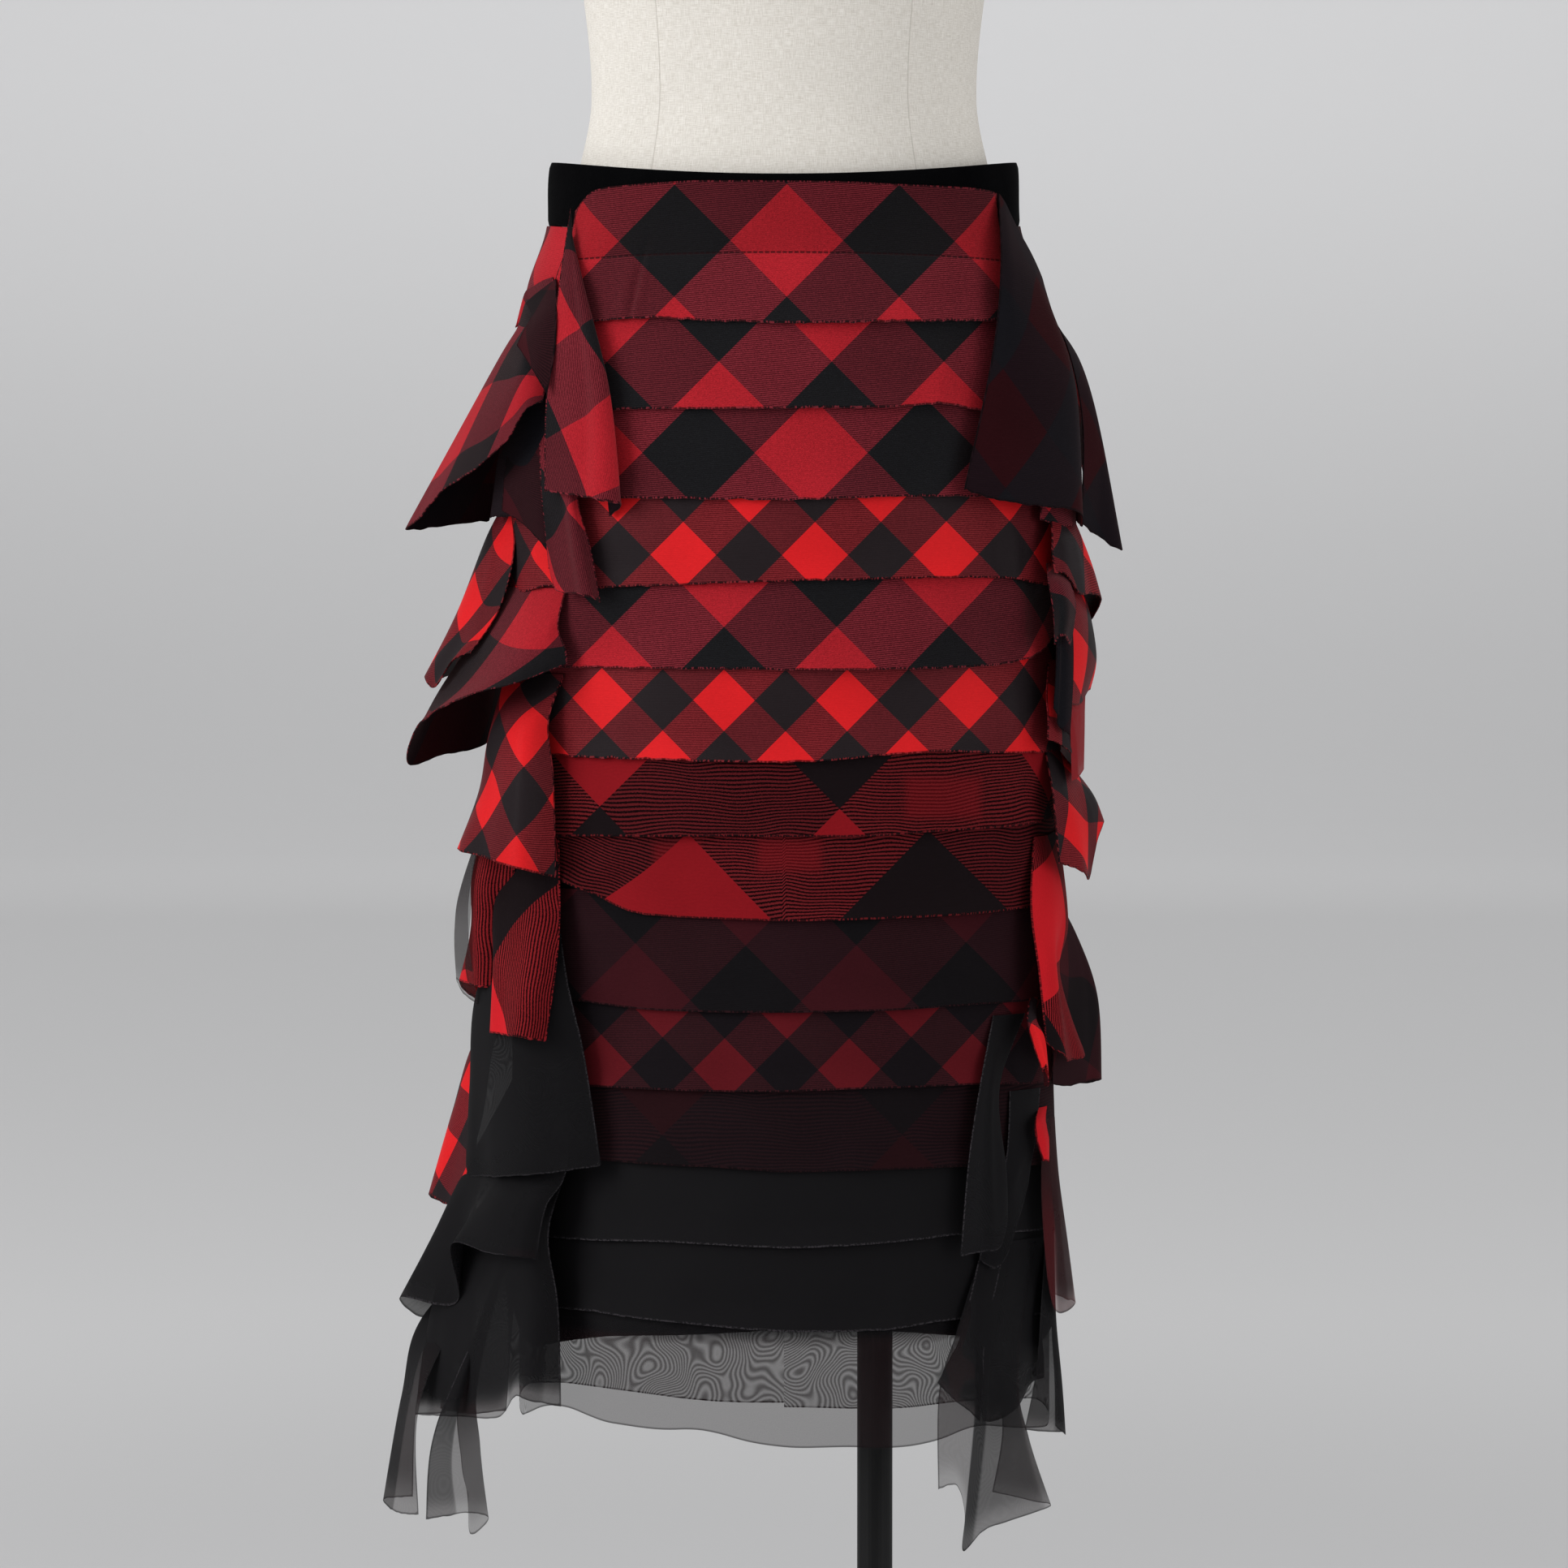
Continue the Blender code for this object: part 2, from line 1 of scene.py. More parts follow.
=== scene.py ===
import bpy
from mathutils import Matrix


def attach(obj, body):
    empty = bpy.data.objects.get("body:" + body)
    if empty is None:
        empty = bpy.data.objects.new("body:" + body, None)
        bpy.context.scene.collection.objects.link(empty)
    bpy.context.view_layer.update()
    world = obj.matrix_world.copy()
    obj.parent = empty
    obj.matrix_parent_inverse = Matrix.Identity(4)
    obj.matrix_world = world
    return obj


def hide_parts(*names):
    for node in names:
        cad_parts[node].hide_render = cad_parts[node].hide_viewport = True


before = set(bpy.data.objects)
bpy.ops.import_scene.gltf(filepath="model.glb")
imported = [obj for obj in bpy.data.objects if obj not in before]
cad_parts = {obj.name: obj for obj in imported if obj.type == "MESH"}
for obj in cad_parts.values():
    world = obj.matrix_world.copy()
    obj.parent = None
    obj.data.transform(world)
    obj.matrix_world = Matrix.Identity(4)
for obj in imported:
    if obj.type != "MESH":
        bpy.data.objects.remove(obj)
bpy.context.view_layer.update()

import math

import bpy
import numpy as np

bpy.ops.object.select_all(action="DESELECT")

# Ruffle skirt on a limbless dress form: the looks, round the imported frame.
# Turns are degrees round the body, 0 in front and 90 on its right side as the photograph shows it.
# Cloth is measured in millimetres, and everything is placed in metres.

# The photograph's camera; pixels are those of its 1932 wide frame
photo = {"distance": 4.5, "height": 0.85, "pitch": 2.846, "focal": 9375, "width": 1932, "sensor": 36}
# How it is read: the tries that find a pixel's place on the skirt, the first guess of how far ahead it lies
# and how far off the skin, the places an edge is averaged over, and a pixel's size; lengths in millimetres
reading = {"tries": 12, "guess": 100.0, "off": 4.0, "average": 9, "pixel": 0.475}

# The cloth's outer skin and the form above it: height, half width, depth in front, depth behind
body = {
    "skin": ((0.993, 0.1380, 0.095, 0.105), (0.956, 0.1395, 0.098, 0.110), (0.920, 0.1515, 0.106, 0.123),
             (0.880, 0.1580, 0.112, 0.130), (0.840, 0.1610, 0.115, 0.132), (0.760, 0.1630, 0.116, 0.132),
             (0.600, 0.1600, 0.116, 0.126), (0.400, 0.1580, 0.117, 0.122), (0.245, 0.1580, 0.120, 0.122)),
    "form": ((1.485, 0.056, 0.050, 0.052), (1.455, 0.060, 0.052, 0.056), (1.437, 0.096, 0.056, 0.062),
             (1.415, 0.138, 0.064, 0.070), (1.385, 0.160, 0.078, 0.080), (1.340, 0.158, 0.098, 0.091),
             (1.280, 0.147, 0.115, 0.094), (1.220, 0.139, 0.118, 0.093), (1.150, 0.129, 0.099, 0.090),
             (1.089, 0.118, 0.085, 0.088), (1.030, 0.1134, 0.081, 0.087), (0.993, 0.1198, 0.084, 0.091),
             (0.955, 0.1310, 0.090, 0.100)),
}


# Places on the body and in the photograph

def smoothStep(value):
    value = np.clip(value, 0, 1)
    return value * value * (3 - 2 * value)


def bodySize(levels, height):
    # half width and depths at each height, on a smooth curve through the table's rows
    rows = np.array(sorted(levels))
    height = np.clip(height, rows[0, 0], rows[-1, 0])
    spot = np.clip(np.searchsorted(rows[:, 0], height), 1, len(rows) - 1)
    low, high = rows[spot - 1], rows[spot]
    before, after = rows[np.maximum(spot - 2, 0)], rows[np.minimum(spot + 1, len(rows) - 1)]
    span = high[..., :1] - low[..., :1]
    t = (height[..., None] - low[..., :1]) / span
    slopeLow = (high - before) / (high[..., :1] - before[..., :1])
    slopeHigh = (after - low) / (after[..., :1] - low[..., :1])
    size = ((2 * t ** 3 - 3 * t ** 2 + 1) * low + (t ** 3 - 2 * t ** 2 + t) * span * slopeLow
            + (3 * t ** 2 - 2 * t ** 3) * high + (t ** 3 - t ** 2) * span * slopeHigh)
    return size[..., 1], size[..., 2], size[..., 3]


def bodyPoints(turn, height, out, levels=body["skin"]):
    # points at turns in degrees and heights in metres, out millimetres off the skin
    turn, height, out = np.broadcast_arrays(*(np.asarray(value, float) for value in (turn, height, out)))
    side, front, back = bodySize(levels, height)
    angle = np.radians(turn)
    across, ahead = np.sin(angle), np.cos(angle)
    depth = np.where(ahead > 0, front, back)
    normal = np.stack([depth * across, -side * ahead], axis=-1)
    normal /= np.linalg.norm(normal, axis=-1, keepdims=True)
    level = np.stack([side * across, -depth * ahead], axis=-1) + normal * (out * 0.001)[..., None]
    return np.concatenate([level, height[..., None]], axis=-1)


def onBody(turn, height, out):
    return bodyPoints(turn, height * 0.001, out)


def inPhoto(across, down, ahead):
    # the point at a pixel of the photograph, ahead millimetres before the body's middle
    distance = photo["distance"] - ahead * 0.001
    middle = photo["width"] / 2
    slope = math.radians(photo["pitch"]) + math.atan((down - middle) / photo["focal"])
    return np.array([(across - middle) / photo["focal"] * distance, -ahead * 0.001,
                     photo["height"] - distance * math.tan(slope)])


def toPhoto(points):
    distance = photo["distance"] + points[..., 1]
    middle = photo["width"] / 2
    slope = np.arctan((photo["height"] - points[..., 2]) / distance) - math.radians(photo["pitch"])
    return np.stack([middle + photo["focal"] * points[..., 0] / distance,
                     middle + photo["focal"] * np.tan(slope)], axis=-1)


def onSkin(across, down, behind=False):
    # the turn and height of the place on the skirt that a pixel shows
    ahead, off = reading["guess"], reading["off"] * 0.001
    for step in range(reading["tries"]):
        point = inPhoto(across, down, -ahead if behind else ahead)
        side, front, back = bodySize(body["skin"], np.array(point[2]))
        depth = float(back if behind else front) + off
        sine = max(-1.0, min(1.0, point[0] / (float(side) + off)))
        ahead = 1000 * depth * math.sqrt(1 - sine * sine)
    turn = math.degrees(math.asin(sine))
    return (math.copysign(180, turn) - turn if behind else turn), point[2]


def averaged(values, count):
    return np.convolve(np.pad(values, count // 2, mode="edge"), np.ones(count) / count, mode="valid")


def edgeHeights(spots, turns, behind=False):
    # a raw edge's height at each turn, through pixels read off the photograph
    found = sorted(onSkin(across, down, behind=behind) for across, down in spots)
    heights = np.interp(turns, [turn for turn, height in found], [height for turn, height in found])
    return averaged(heights, reading["average"])


def cutLine(seed, amount, count):
    # how unevenly a raw edge is cut
    dice = np.random.default_rng(seed)
    return np.convolve(dice.normal(0, amount, count + 2), (0.25, 0.5, 0.25), mode="valid")


def waves(turns, rows, level=0):
    # a slow rise and fall round the body, each row a size, a number of waves and a shift in radians
    angle = np.radians(turns)
    return sum((size * np.sin(angle * count + shift) for size, count, shift in rows), level)


# Materials: sums and nodes

def shaderValue(part):
    # one part of a colour as it is picked on screen, from 0 to 255
    return ((part / 255 + 0.055) / 1.055) ** 2.4 if part > 10 else part / 255 / 12.92


def srgb(red, green, blue):
    return shaderValue(red), shaderValue(green), shaderValue(blue), 1


class Wire:
    # a node's output, on which sums can be written
    def __init__(self, finish, socket):
        self.finish = finish
        self.socket = socket

    def sum(self, operation, *others):
        return self.finish.node("ShaderNodeMath", {"operation": operation}, dict(enumerate((self, *others))))

    def __add__(self, other):
        return self.sum("ADD", other)

    def __sub__(self, other):
        return self.sum("SUBTRACT", other)

    def __rsub__(self, other):
        return self.sum("MULTIPLY", -1.0).sum("ADD", other)

    def __mul__(self, other):
        return self.sum("MULTIPLY", other)

    def __gt__(self, other):
        return self.sum("GREATER_THAN", other)

    __radd__ = __add__
    __rmul__ = __mul__


class Finish:
    # a new material, whose nodes are added by type
    def __init__(self, name, **shader):
        self.material = bpy.data.materials.new(name)
        self.material.use_nodes = True
        self.tree = self.material.node_tree
        self.shader = self.tree.nodes["Principled BSDF"]
        for socket, value in shader.items():
            self.shader.inputs[socket.replace("_", " ")].default_value = value

    def node(self, kind, settings=None, values=None, output=0):
        made = self.tree.nodes.new(kind)
        for key, value in (settings or {}).items():
            setattr(made, key, value)
        for key, value in (values or {}).items():
            if isinstance(value, Wire):
                self.tree.links.new(value.socket, made.inputs[key])
            else:
                made.inputs[key].default_value = value
        return Wire(self, made.outputs[output])

    def feed(self, **values):
        for socket, wire in values.items():
            self.tree.links.new(wire.socket, self.shader.inputs[socket.replace("_", " ")])

    def cloth(self):
        # millimetres along the cloth's own stripes, from the middle of a red diamond
        spot = self.node("ShaderNodeUVMap", {"uv_map": "cloth"})
        parts = self.node("ShaderNodeSeparateXYZ", None, {0: spot})
        return spot, parts, Wire(self, parts.socket.node.outputs[1])

    def space(self):
        # the place in the part, in metres
        return self.node("ShaderNodeTexCoord", None, None, 3)

    def attribute(self, name):
        return self.node("ShaderNodeAttribute", {"attribute_name": name}, None, 2)

    def noise(self, vector, scale, detail=2.0, roughness=0.5):
        return self.node("ShaderNodeTexNoise", None,
                         {"Vector": vector, "Scale": scale, "Detail": detail, "Roughness": roughness})

    def stretched(self, vector, across, up, ahead=1.0):
        return self.node("ShaderNodeMapping", None, {"Vector": vector, "Scale": (across, up, ahead)})

    def ramp(self, value, low, high):
        return self.node("ShaderNodeMapRange", {"interpolation_type": "SMOOTHSTEP"},
                         {"Value": value, "From Min": low, "From Max": high})

    def mix(self, factor, first, second):
        return self.node("ShaderNodeMix", {"data_type": "RGBA"}, {0: factor, 6: first, 7: second}, 2)

    def shade(self, colour, amount):
        # a colour made lighter or darker by a number that varies
        grey = self.node("ShaderNodeCombineXYZ", None, {0: amount, 1: amount, 2: amount})
        return self.node("ShaderNodeVectorMath", {"operation": "MULTIPLY"}, {0: colour, 1: grey})

    def bump(self, height, strength, distance):
        self.feed(Normal=self.node("ShaderNodeBump", None,
                                   {"Height": height, "Strength": strength, "Distance": distance}))


# The checked cloths: size is a diamond's width and line the twill's spacing, in millimetres
checks = {
    "large": {"size": 65, "line": 1.17, "slant": 5, "red": (164, 31, 40), "black": (21, 23, 25),
              "coarse": ((76, 18, 25), (118, 38, 47)), "fine": ((60, 17, 24), (94, 32, 39)),
              "fuzz": 0.1, "rough": 0.9, "gloss": 0.1, "bump": 0.5, "weave": 0.28},
    "small": {"size": 36, "line": 1.05, "slant": 2, "red": (209, 32, 36), "black": (36, 30, 32),
              "coarse": ((80, 17, 22), (126, 38, 43)), "fine": ((72, 20, 25), (104, 35, 40)),
              "fuzz": 0, "rough": 0.5, "gloss": 0.09, "bump": 0.15, "weave": 0.05},
    "sheer": {"size": 139, "line": 2.05, "slant": 1.5, "red": (127, 19, 26), "black": (21, 15, 17),
              "coarse": ((12, 1, 3), (102, 27, 31)), "fine": ((10, 1, 3), (86, 23, 27)),
              "fuzz": 0.02, "rough": 0.8, "gloss": 0.1, "bump": 0.12, "weave": 0.05},
    "sheerLoose": {"size": 139, "line": 2.05, "slant": 1.5, "red": (190, 28, 36), "black": (22, 16, 18),
                   "coarse": ((20, 2, 4), (138, 31, 37)), "fine": ((20, 2, 4), (130, 29, 34)),
                   "fuzz": 0.02, "rough": 0.8, "gloss": 0.1, "bump": 0.12, "weave": 0.05},
    "veiled": {"size": 64, "line": 1.17, "slant": 4, "red": (54, 18, 23), "black": (18, 17, 19),
               "coarse": ((30, 14, 17), (44, 21, 25)), "fine": ((32, 16, 20), (40, 20, 24)),
               "fuzz": 0.03, "rough": 0.85, "gloss": 0.08, "bump": 0.1, "weave": 0.06},
    "veiledSmall": {"size": 36, "line": 1.05, "slant": 2, "red": (86, 20, 26), "black": (20, 17, 20),
                    "coarse": ((34, 15, 18), (56, 23, 28)), "fine": ((34, 17, 20), (48, 22, 26)),
                    "fuzz": 0.03, "rough": 0.8, "gloss": 0.08, "bump": 0.08, "weave": 0.06},
    "veiledDark": {"size": 139, "line": 2.05, "slant": 1, "red": (34, 15, 18), "black": (19, 16, 18),
                   "coarse": ((20, 13, 16), (34, 18, 21)), "fine": ((20, 14, 17), (31, 18, 21)),
                   "fuzz": 0.03, "rough": 0.85, "gloss": 0.08, "bump": 0.08, "weave": 0.06},
    "reverse": {"size": 65, "line": 1.17, "slant": 5, "red": (40, 11, 15), "black": (20, 20, 24),
                "coarse": ((24, 15, 19), (28, 16, 21)), "fine": ((22, 19, 23), (25, 19, 23)),
                "fuzz": 0.03, "rough": 0.9, "gloss": 0.1, "bump": 0.25, "weave": 0.08},
    "reverseSmall": {"size": 36, "line": 1.05, "slant": 2, "red": (110, 15, 18), "black": (24, 21, 23),
                     "coarse": ((38, 9, 12), (70, 20, 24)), "fine": ((38, 11, 14), (56, 19, 23)),
                     "fuzz": 0, "rough": 0.65, "gloss": 0.2, "bump": 0.1, "weave": 0.05},
}
# What they share: thin cloths have the largest diamonds, and their lines wander more; a raw edge is painted
# dark, for its loose threads and for a painted shadow line along it
twill = {"thinFrom": 100, "wander": 8, "thinWander": 40, "fray": (0.6, 1.3), "frayShare": 0.85,
         "thread": srgb(13, 9, 11), "fuzz": srgb(255, 190, 190), "relief": 0.0002}
stitches = {"length": 3.4, "gap": 0.3, "colour": srgb(24, 7, 10), "width": (0.3, 0.9), "dent": 4, "drawn": 3}


def checkCloth(name, check, stitched=False):
    finish = Finish(name, Roughness=check["rough"], Specular_IOR_Level=check["gloss"], IOR=1.25,
                    Sheen_Weight=check["fuzz"], Sheen_Roughness=0.5, Sheen_Tint=twill["fuzz"])
    thin = check["size"] > twill["thinFrom"]
    red, black = srgb(*check["red"]), srgb(*check["black"])
    coarsePair, finePair = ([srgb(*shade) for shade in check[key]] for key in ("coarse", "fine"))
    spot, across, up = finish.cloth()
    first = ((across + up) * (0.5 / check["size"]) + 0.25).sum("FRACT") > 0.5
    second = ((across - up) * (0.5 / check["size"]) + 0.25).sum("FRACT") > 0.5
    slant = math.radians(check["slant"])
    weave = finish.noise(finish.stretched(spot, 0.8, 2.0), 1.3, 1.0) - 0.5
    grain = finish.noise(finish.stretched(spot, 0.5, 0.9), 0.8, 2.0, 0.7) - 0.5
    patch = finish.noise(spot, 0.02, 1.0) - 0.5
    wander = patch * twill["thinWander" if thin else "wander"]
    ridge = (across * (math.sin(slant) * math.tau / check["line"])
             - up * (math.cos(slant) * math.tau / check["line"]) + weave * 4 + wander).sum("SINE")
    line = finish.ramp(ridge, -0.8, 0.8)
    coarse = finish.mix(line, *coarsePair)
    fine = finish.mix(line, *finePair)
    solid = finish.mix(first, red, black)
    colour = finish.mix((first - second).sum("ABSOLUTE"), solid, finish.mix(first, fine, coarse))
    colour = finish.shade(colour, weave * (4 * check["weave"]) + ridge * (0.3 * check["weave"])
                          + grain * (check["weave"] * 2 + 0.15) + patch * 0.35 + 1)
    if thin:
        # the cloth behind shows through in places
        colour = finish.mix(finish.attribute("glow"), colour, red)
    # the raw edge: loosened threads, red ones on a dark band that is partly dark threads and partly a
    # painted shadow line
    thread = finish.noise(finish.stretched(spot, 1.0, 0.3), 0.8, 1.0)
    frayedAndShaded = 1 - finish.ramp(finish.attribute("raw"), *twill["fray"])
    edgeDotsOnShadowLine = finish.mix(finish.ramp(thread, 0.5, 0.58), twill["thread"], coarsePair[1])
    colour = finish.mix(frayedAndShaded * twill["frayShare"], colour, edgeDotsOnShadowLine)
    height = ridge * 0.5 + weave
    if stitched:
        # a row of stitches that draws the cloth in
        rise = finish.attribute("stitch")
        dash = (across * (1 / stitches["length"])).sum("FRACT") > stitches["gap"]
        row = 1 - finish.ramp(rise.sum("ABSOLUTE"), *stitches["width"])
        # the cloth above the stitch row is painted darker, a painted shade
        colour = finish.shade(colour, 1 - finish.ramp(rise, -0.5, 2.0) * 0.24)
        colour = finish.mix(row * (dash * 0.5 + 0.3), colour, stitches["colour"])
        height = height - row * stitches["dent"] - finish.ramp(rise, -1.5, 1.5) * stitches["drawn"]
    finish.feed(Base_Color=colour)
    finish.bump(height, check["bump"], twill["relief"])
    return finish.material


# Plain chiffon: thin is the share of light one layer lets through
chiffons = {
    "chiffon": {"thin": 0.47, "thinColour": srgb(31, 20, 22), "colour": srgb(15, 14, 16)},
    "veiledRed": {"thin": 0.25, "thinColour": srgb(130, 26, 32), "colour": srgb(130, 26, 32)},
    "chiffonRed": {"thin": 0.5, "thinColour": srgb(86, 22, 27), "colour": srgb(40, 12, 15)},
}
# What they share: how a raw edge thickens, the pale colour of a painted highlight on a thick raw edge, and
# the rings that show where one fine mesh hangs behind another
chiffonShared = {"edge": (0.4, 1.4), "edgeLayers": 1.2, "thick": (2.5, 4.0), "thread": srgb(66, 62, 66),
                 "ringSize": 0.024, "rings": 230, "ringLean": (0.4, 0.2)}


def chiffonCloth(name, look):
    finish = Finish(name, Roughness=0.8, Specular_IOR_Level=0.1)
    shared = chiffonShared
    spot, across, up = finish.cloth()
    weave = finish.noise(spot, 1.6, 1.0) - 0.5
    edge = 1 - finish.ramp(finish.attribute("raw"), *shared["edge"])
    thick = finish.ramp(finish.attribute("layers"), *shared["thick"])
    layers = finish.attribute("layers") + edge * shared["edgeLayers"] + weave * 0.3
    cover = 1 - (layers * math.log(look["thin"])).sum("EXPONENT")
    slow = finish.noise(spot, shared["ringSize"], 1.0, 0.4)
    leanAcross, leanUp = shared["ringLean"]
    rings = (slow * shared["rings"] + across * leanAcross + up * leanUp).sum("SINE")
    cover = cover + rings * finish.attribute("moire")
    colour = finish.mix(finish.ramp(layers, 1.0, 3.0), look["thinColour"], look["colour"])
    # a raw edge on thick pleats is painted paler in dots: a painted highlight on its threads
    thread = finish.ramp(finish.noise(spot, 0.8, 1.0), 0.42, 0.58)
    colour = finish.mix(edge * thick * thread * 0.6, colour, shared["thread"])
    finish.feed(Base_Color=finish.shade(colour, weave * 0.5 + 1), Alpha=cover)
    return finish.material


velvet = {"dark": srgb(2, 2, 3), "pale": srgb(5, 5, 6), "pile": 900, "rough": 0.82, "relief": 0.0004}


def velvetCloth():
    finish = Finish("velvet", Specular_IOR_Level=0.03)
    spot = finish.space()
    pile = finish.noise(spot, velvet["pile"], 3.0, 0.7)
    brushed = finish.noise(finish.stretched(spot, 30, 30, 8), 1.0, 3.0)
    finish.feed(Base_Color=finish.mix(finish.ramp(brushed, 0.35, 0.75), velvet["dark"], velvet["pale"]),
                Roughness=finish.ramp(pile, 0.2, 0.9) * 0.15 + velvet["rough"])
    finish.bump(pile, 0.5, velvet["relief"])
    return finish.material


linen = {"dark": srgb(208, 202, 192), "pale": srgb(236, 232, 225), "fleck": srgb(178, 156, 128),
         "speck": srgb(160, 148, 136), "seam": srgb(150, 140, 128), "seamWidth": (0.25, 0.9),
         "relief": 0.0003}


def linenCloth():
    finish = Finish("linen", Specular_IOR_Level=0.15, Roughness=0.95)
    spot, across, up = finish.cloth()
    weft = finish.noise(finish.stretched(spot, 0.16, 2.4), 1.0, 3.0, 0.65)
    warp = finish.noise(finish.stretched(spot, 2.4, 0.16), 1.0, 3.0, 0.65)
    fleck = finish.noise(finish.stretched(spot, 0.30, 0.95), 1.0, 4.0, 0.8)
    speck = finish.noise(finish.stretched(spot, 1.5, 0.45), 0.8, 3.0, 0.7)
    cloud = finish.noise(spot, 0.02, 3.0)
    colour = finish.mix(finish.ramp(weft + warp, 0.72, 1.28), linen["dark"], linen["pale"])
    colour = finish.mix(finish.ramp(fleck, 0.60, 0.74) * 0.55, colour, linen["fleck"])
    colour = finish.mix(finish.ramp(speck, 0.63, 0.75) * 0.45, colour, linen["speck"])
    colour = finish.shade(colour, cloud * 0.08 + 0.95)
    seam = 1 - finish.ramp(finish.attribute("seam"), *linen["seamWidth"])
    colour = finish.mix(seam * 0.35, colour, linen["seam"])
    finish.feed(Base_Color=colour)
    finish.bump(weft + warp - seam * 3, 0.35, linen["relief"])
    return finish.material


wood = {"dark": srgb(150, 112, 74), "pale": srgb(196, 158, 112), "pore": srgb(104, 72, 44), "relief": 0.0003}


def neckWood():
    finish = Finish("neckWood", Coat_Weight=0.25, Coat_Roughness=0.25)
    spot = finish.space()
    rings = finish.noise(finish.stretched(spot, 12, 160, 60), 1.0, 4.0, 0.6)
    pores = finish.noise(finish.stretched(spot, 60, 900, 300), 1.0, 2.0)
    colour = finish.mix(finish.ramp(rings, 0.3, 0.7), wood["dark"], wood["pale"])
    colour = finish.mix(finish.ramp(pores, 0.6, 0.75) * 0.5, colour, wood["pore"])
    finish.feed(Base_Color=colour, Roughness=rings * 0.2 + 0.35)
    finish.bump(pores, 0.2, wood["relief"])
    return finish.material


steel = {"dark": srgb(10, 10, 11), "pale": srgb(16, 16, 17), "grain": 1400, "dust": 22, "rough": 0.42,
         "relief": 0.0003}


def blackSteel():
    finish = Finish("blackSteel", Specular_IOR_Level=0.2)
    spot = finish.space()
    grain = finish.noise(spot, steel["grain"], 2.0, 0.6)
    dust = finish.noise(spot, steel["dust"], 3.0)
    finish.feed(Base_Color=finish.mix(finish.ramp(dust, 0.35, 0.75), steel["dark"], steel["pale"]),
                Roughness=grain * 0.12 + dust * 0.1 + steel["rough"])
    finish.bump(grain, 0.25, steel["relief"])
    return finish.material


print("materials")
finishes = {name: checkCloth(name, check) for name, check in checks.items()}
finishes["largeStitchedPaintedShade"] = checkCloth("largeStitchedPaintedShade", checks["large"], stitched=True)
for name, look in chiffons.items():
    finishes[name] = chiffonCloth(name, look)
finishes["velvet"] = velvetCloth()
finishes["linen"] = linenCloth()
finishes["neckWood"] = neckWood()
finishes["blackSteel"] = blackSteel()


# Sheets of cloth: metres between corners that are welded, the sharpest bend in degrees that is shaded
# smooth, and the millimetres from a cut edge that count as far
sheets = {"weld": 0.00001, "bend": 50, "far": 30.0}


def gridSteps(points):
    # millimetres across each row from its middle, and up the middle column from its lowest point
    widths = np.linalg.norm(np.diff(points, axis=1), axis=2) * 1000
    across = np.concatenate([np.zeros((len(points), 1)), np.cumsum(widths, axis=1)], axis=1)
    middle = points.shape[1] // 2
    across = across - across[:, middle:middle + 1]
    heights = np.linalg.norm(np.diff(points[:, middle], axis=0), axis=1) * 1000
    up = np.concatenate([[0], np.cumsum(heights)])
    return across, np.repeat(up[:, None], points.shape[1], axis=1)


def makeSheet(name, points, across, up, outer, inner=None, wall=0.0, closed=False, **marks):
    # points run up in rows, and along a row from left to right as seen from outside
    rows, columns = points.shape[:2]
    bpy.ops.mesh.primitive_grid_add(x_subdivisions=columns - 1, y_subdivisions=rows - 1, size=1,
                                    location=(0, 0, 0))
    piece = bpy.context.object
    piece.name = name
    mesh = piece.data
    mesh.name = name
    mesh.vertices.foreach_set("co", points.reshape(-1).astype(np.float32))
    layer = mesh.uv_layers[0]
    layer.name = "cloth"
    corners = np.zeros(len(mesh.loops), int)
    mesh.loops.foreach_get("vertex_index", corners)
    flat = np.stack([across.reshape(-1), up.reshape(-1)], axis=1)
    layer.data.foreach_set("uv", flat[corners].reshape(-1).astype(np.float32))
    for key, values in marks.items():
        store = mesh.attributes.new(key, "FLOAT", "POINT")
        spread = np.broadcast_to(values, (rows, columns))
        store.data.foreach_set("value", spread.reshape(-1).astype(np.float32))
    mesh.materials.append(finishes[outer])
    mesh.update()
    if closed:
        bpy.ops.object.mode_set(mode="EDIT")
        bpy.ops.mesh.select_all(action="SELECT")
        bpy.ops.mesh.remove_doubles(threshold=sheets["weld"])
        bpy.ops.object.mode_set(mode="OBJECT")
    if wall:
        mesh.materials.append(finishes[inner or outer])
        solid = piece.modifiers.new("wall", "SOLIDIFY")
        solid.thickness = wall * 0.001
        solid.offset = -1
        solid.use_even_offset = False
        solid.material_offset = 1
        solid.material_offset_rim = 0
        bpy.ops.object.modifier_apply(modifier="wall")
    bpy.ops.object.shade_smooth_by_angle(angle=math.radians(sheets["bend"]))
    piece.select_set(False)
    return piece


def rawDistance(across, up, left=True, right=True, bottom=True, top=False):
    # millimetres to the nearest cut edge
    away = np.full(across.shape, sheets["far"])
    if bottom:
        away = np.minimum(away, up - up.min(axis=0, keepdims=True))
    if top:
        away = np.minimum(away, up.max(axis=0, keepdims=True) - up)
    if left:
        away = np.minimum(away, across - across[:, :1])
    if right:
        away = np.minimum(away, across[:, -1:] - across)
    return away


def place(piece, node, points):
    # carries the piece on the root body and hides the part it stands for; its area is worked out but not
    # kept
    across, up = gridSteps(points)
    width = (across[:, -1] - across[:, 0]).max() / 1000
    columns = np.linalg.norm(np.diff(points, axis=0), axis=2).sum(axis=0)
    length = columns.max()
    right, rise = points[:, 1:] - points[:, :-1], points[1:] - points[:-1]
    area = (np.linalg.norm(np.cross(right[:-1], rise[:, :-1]), axis=2).sum()
            + np.linalg.norm(np.cross(right[1:], rise[:, 1:]), axis=2).sum()) / 2
    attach(piece, "root")
    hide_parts(node)
    round(min(max(area, 0.31 * width * length), 0.99 * width * length), 5)


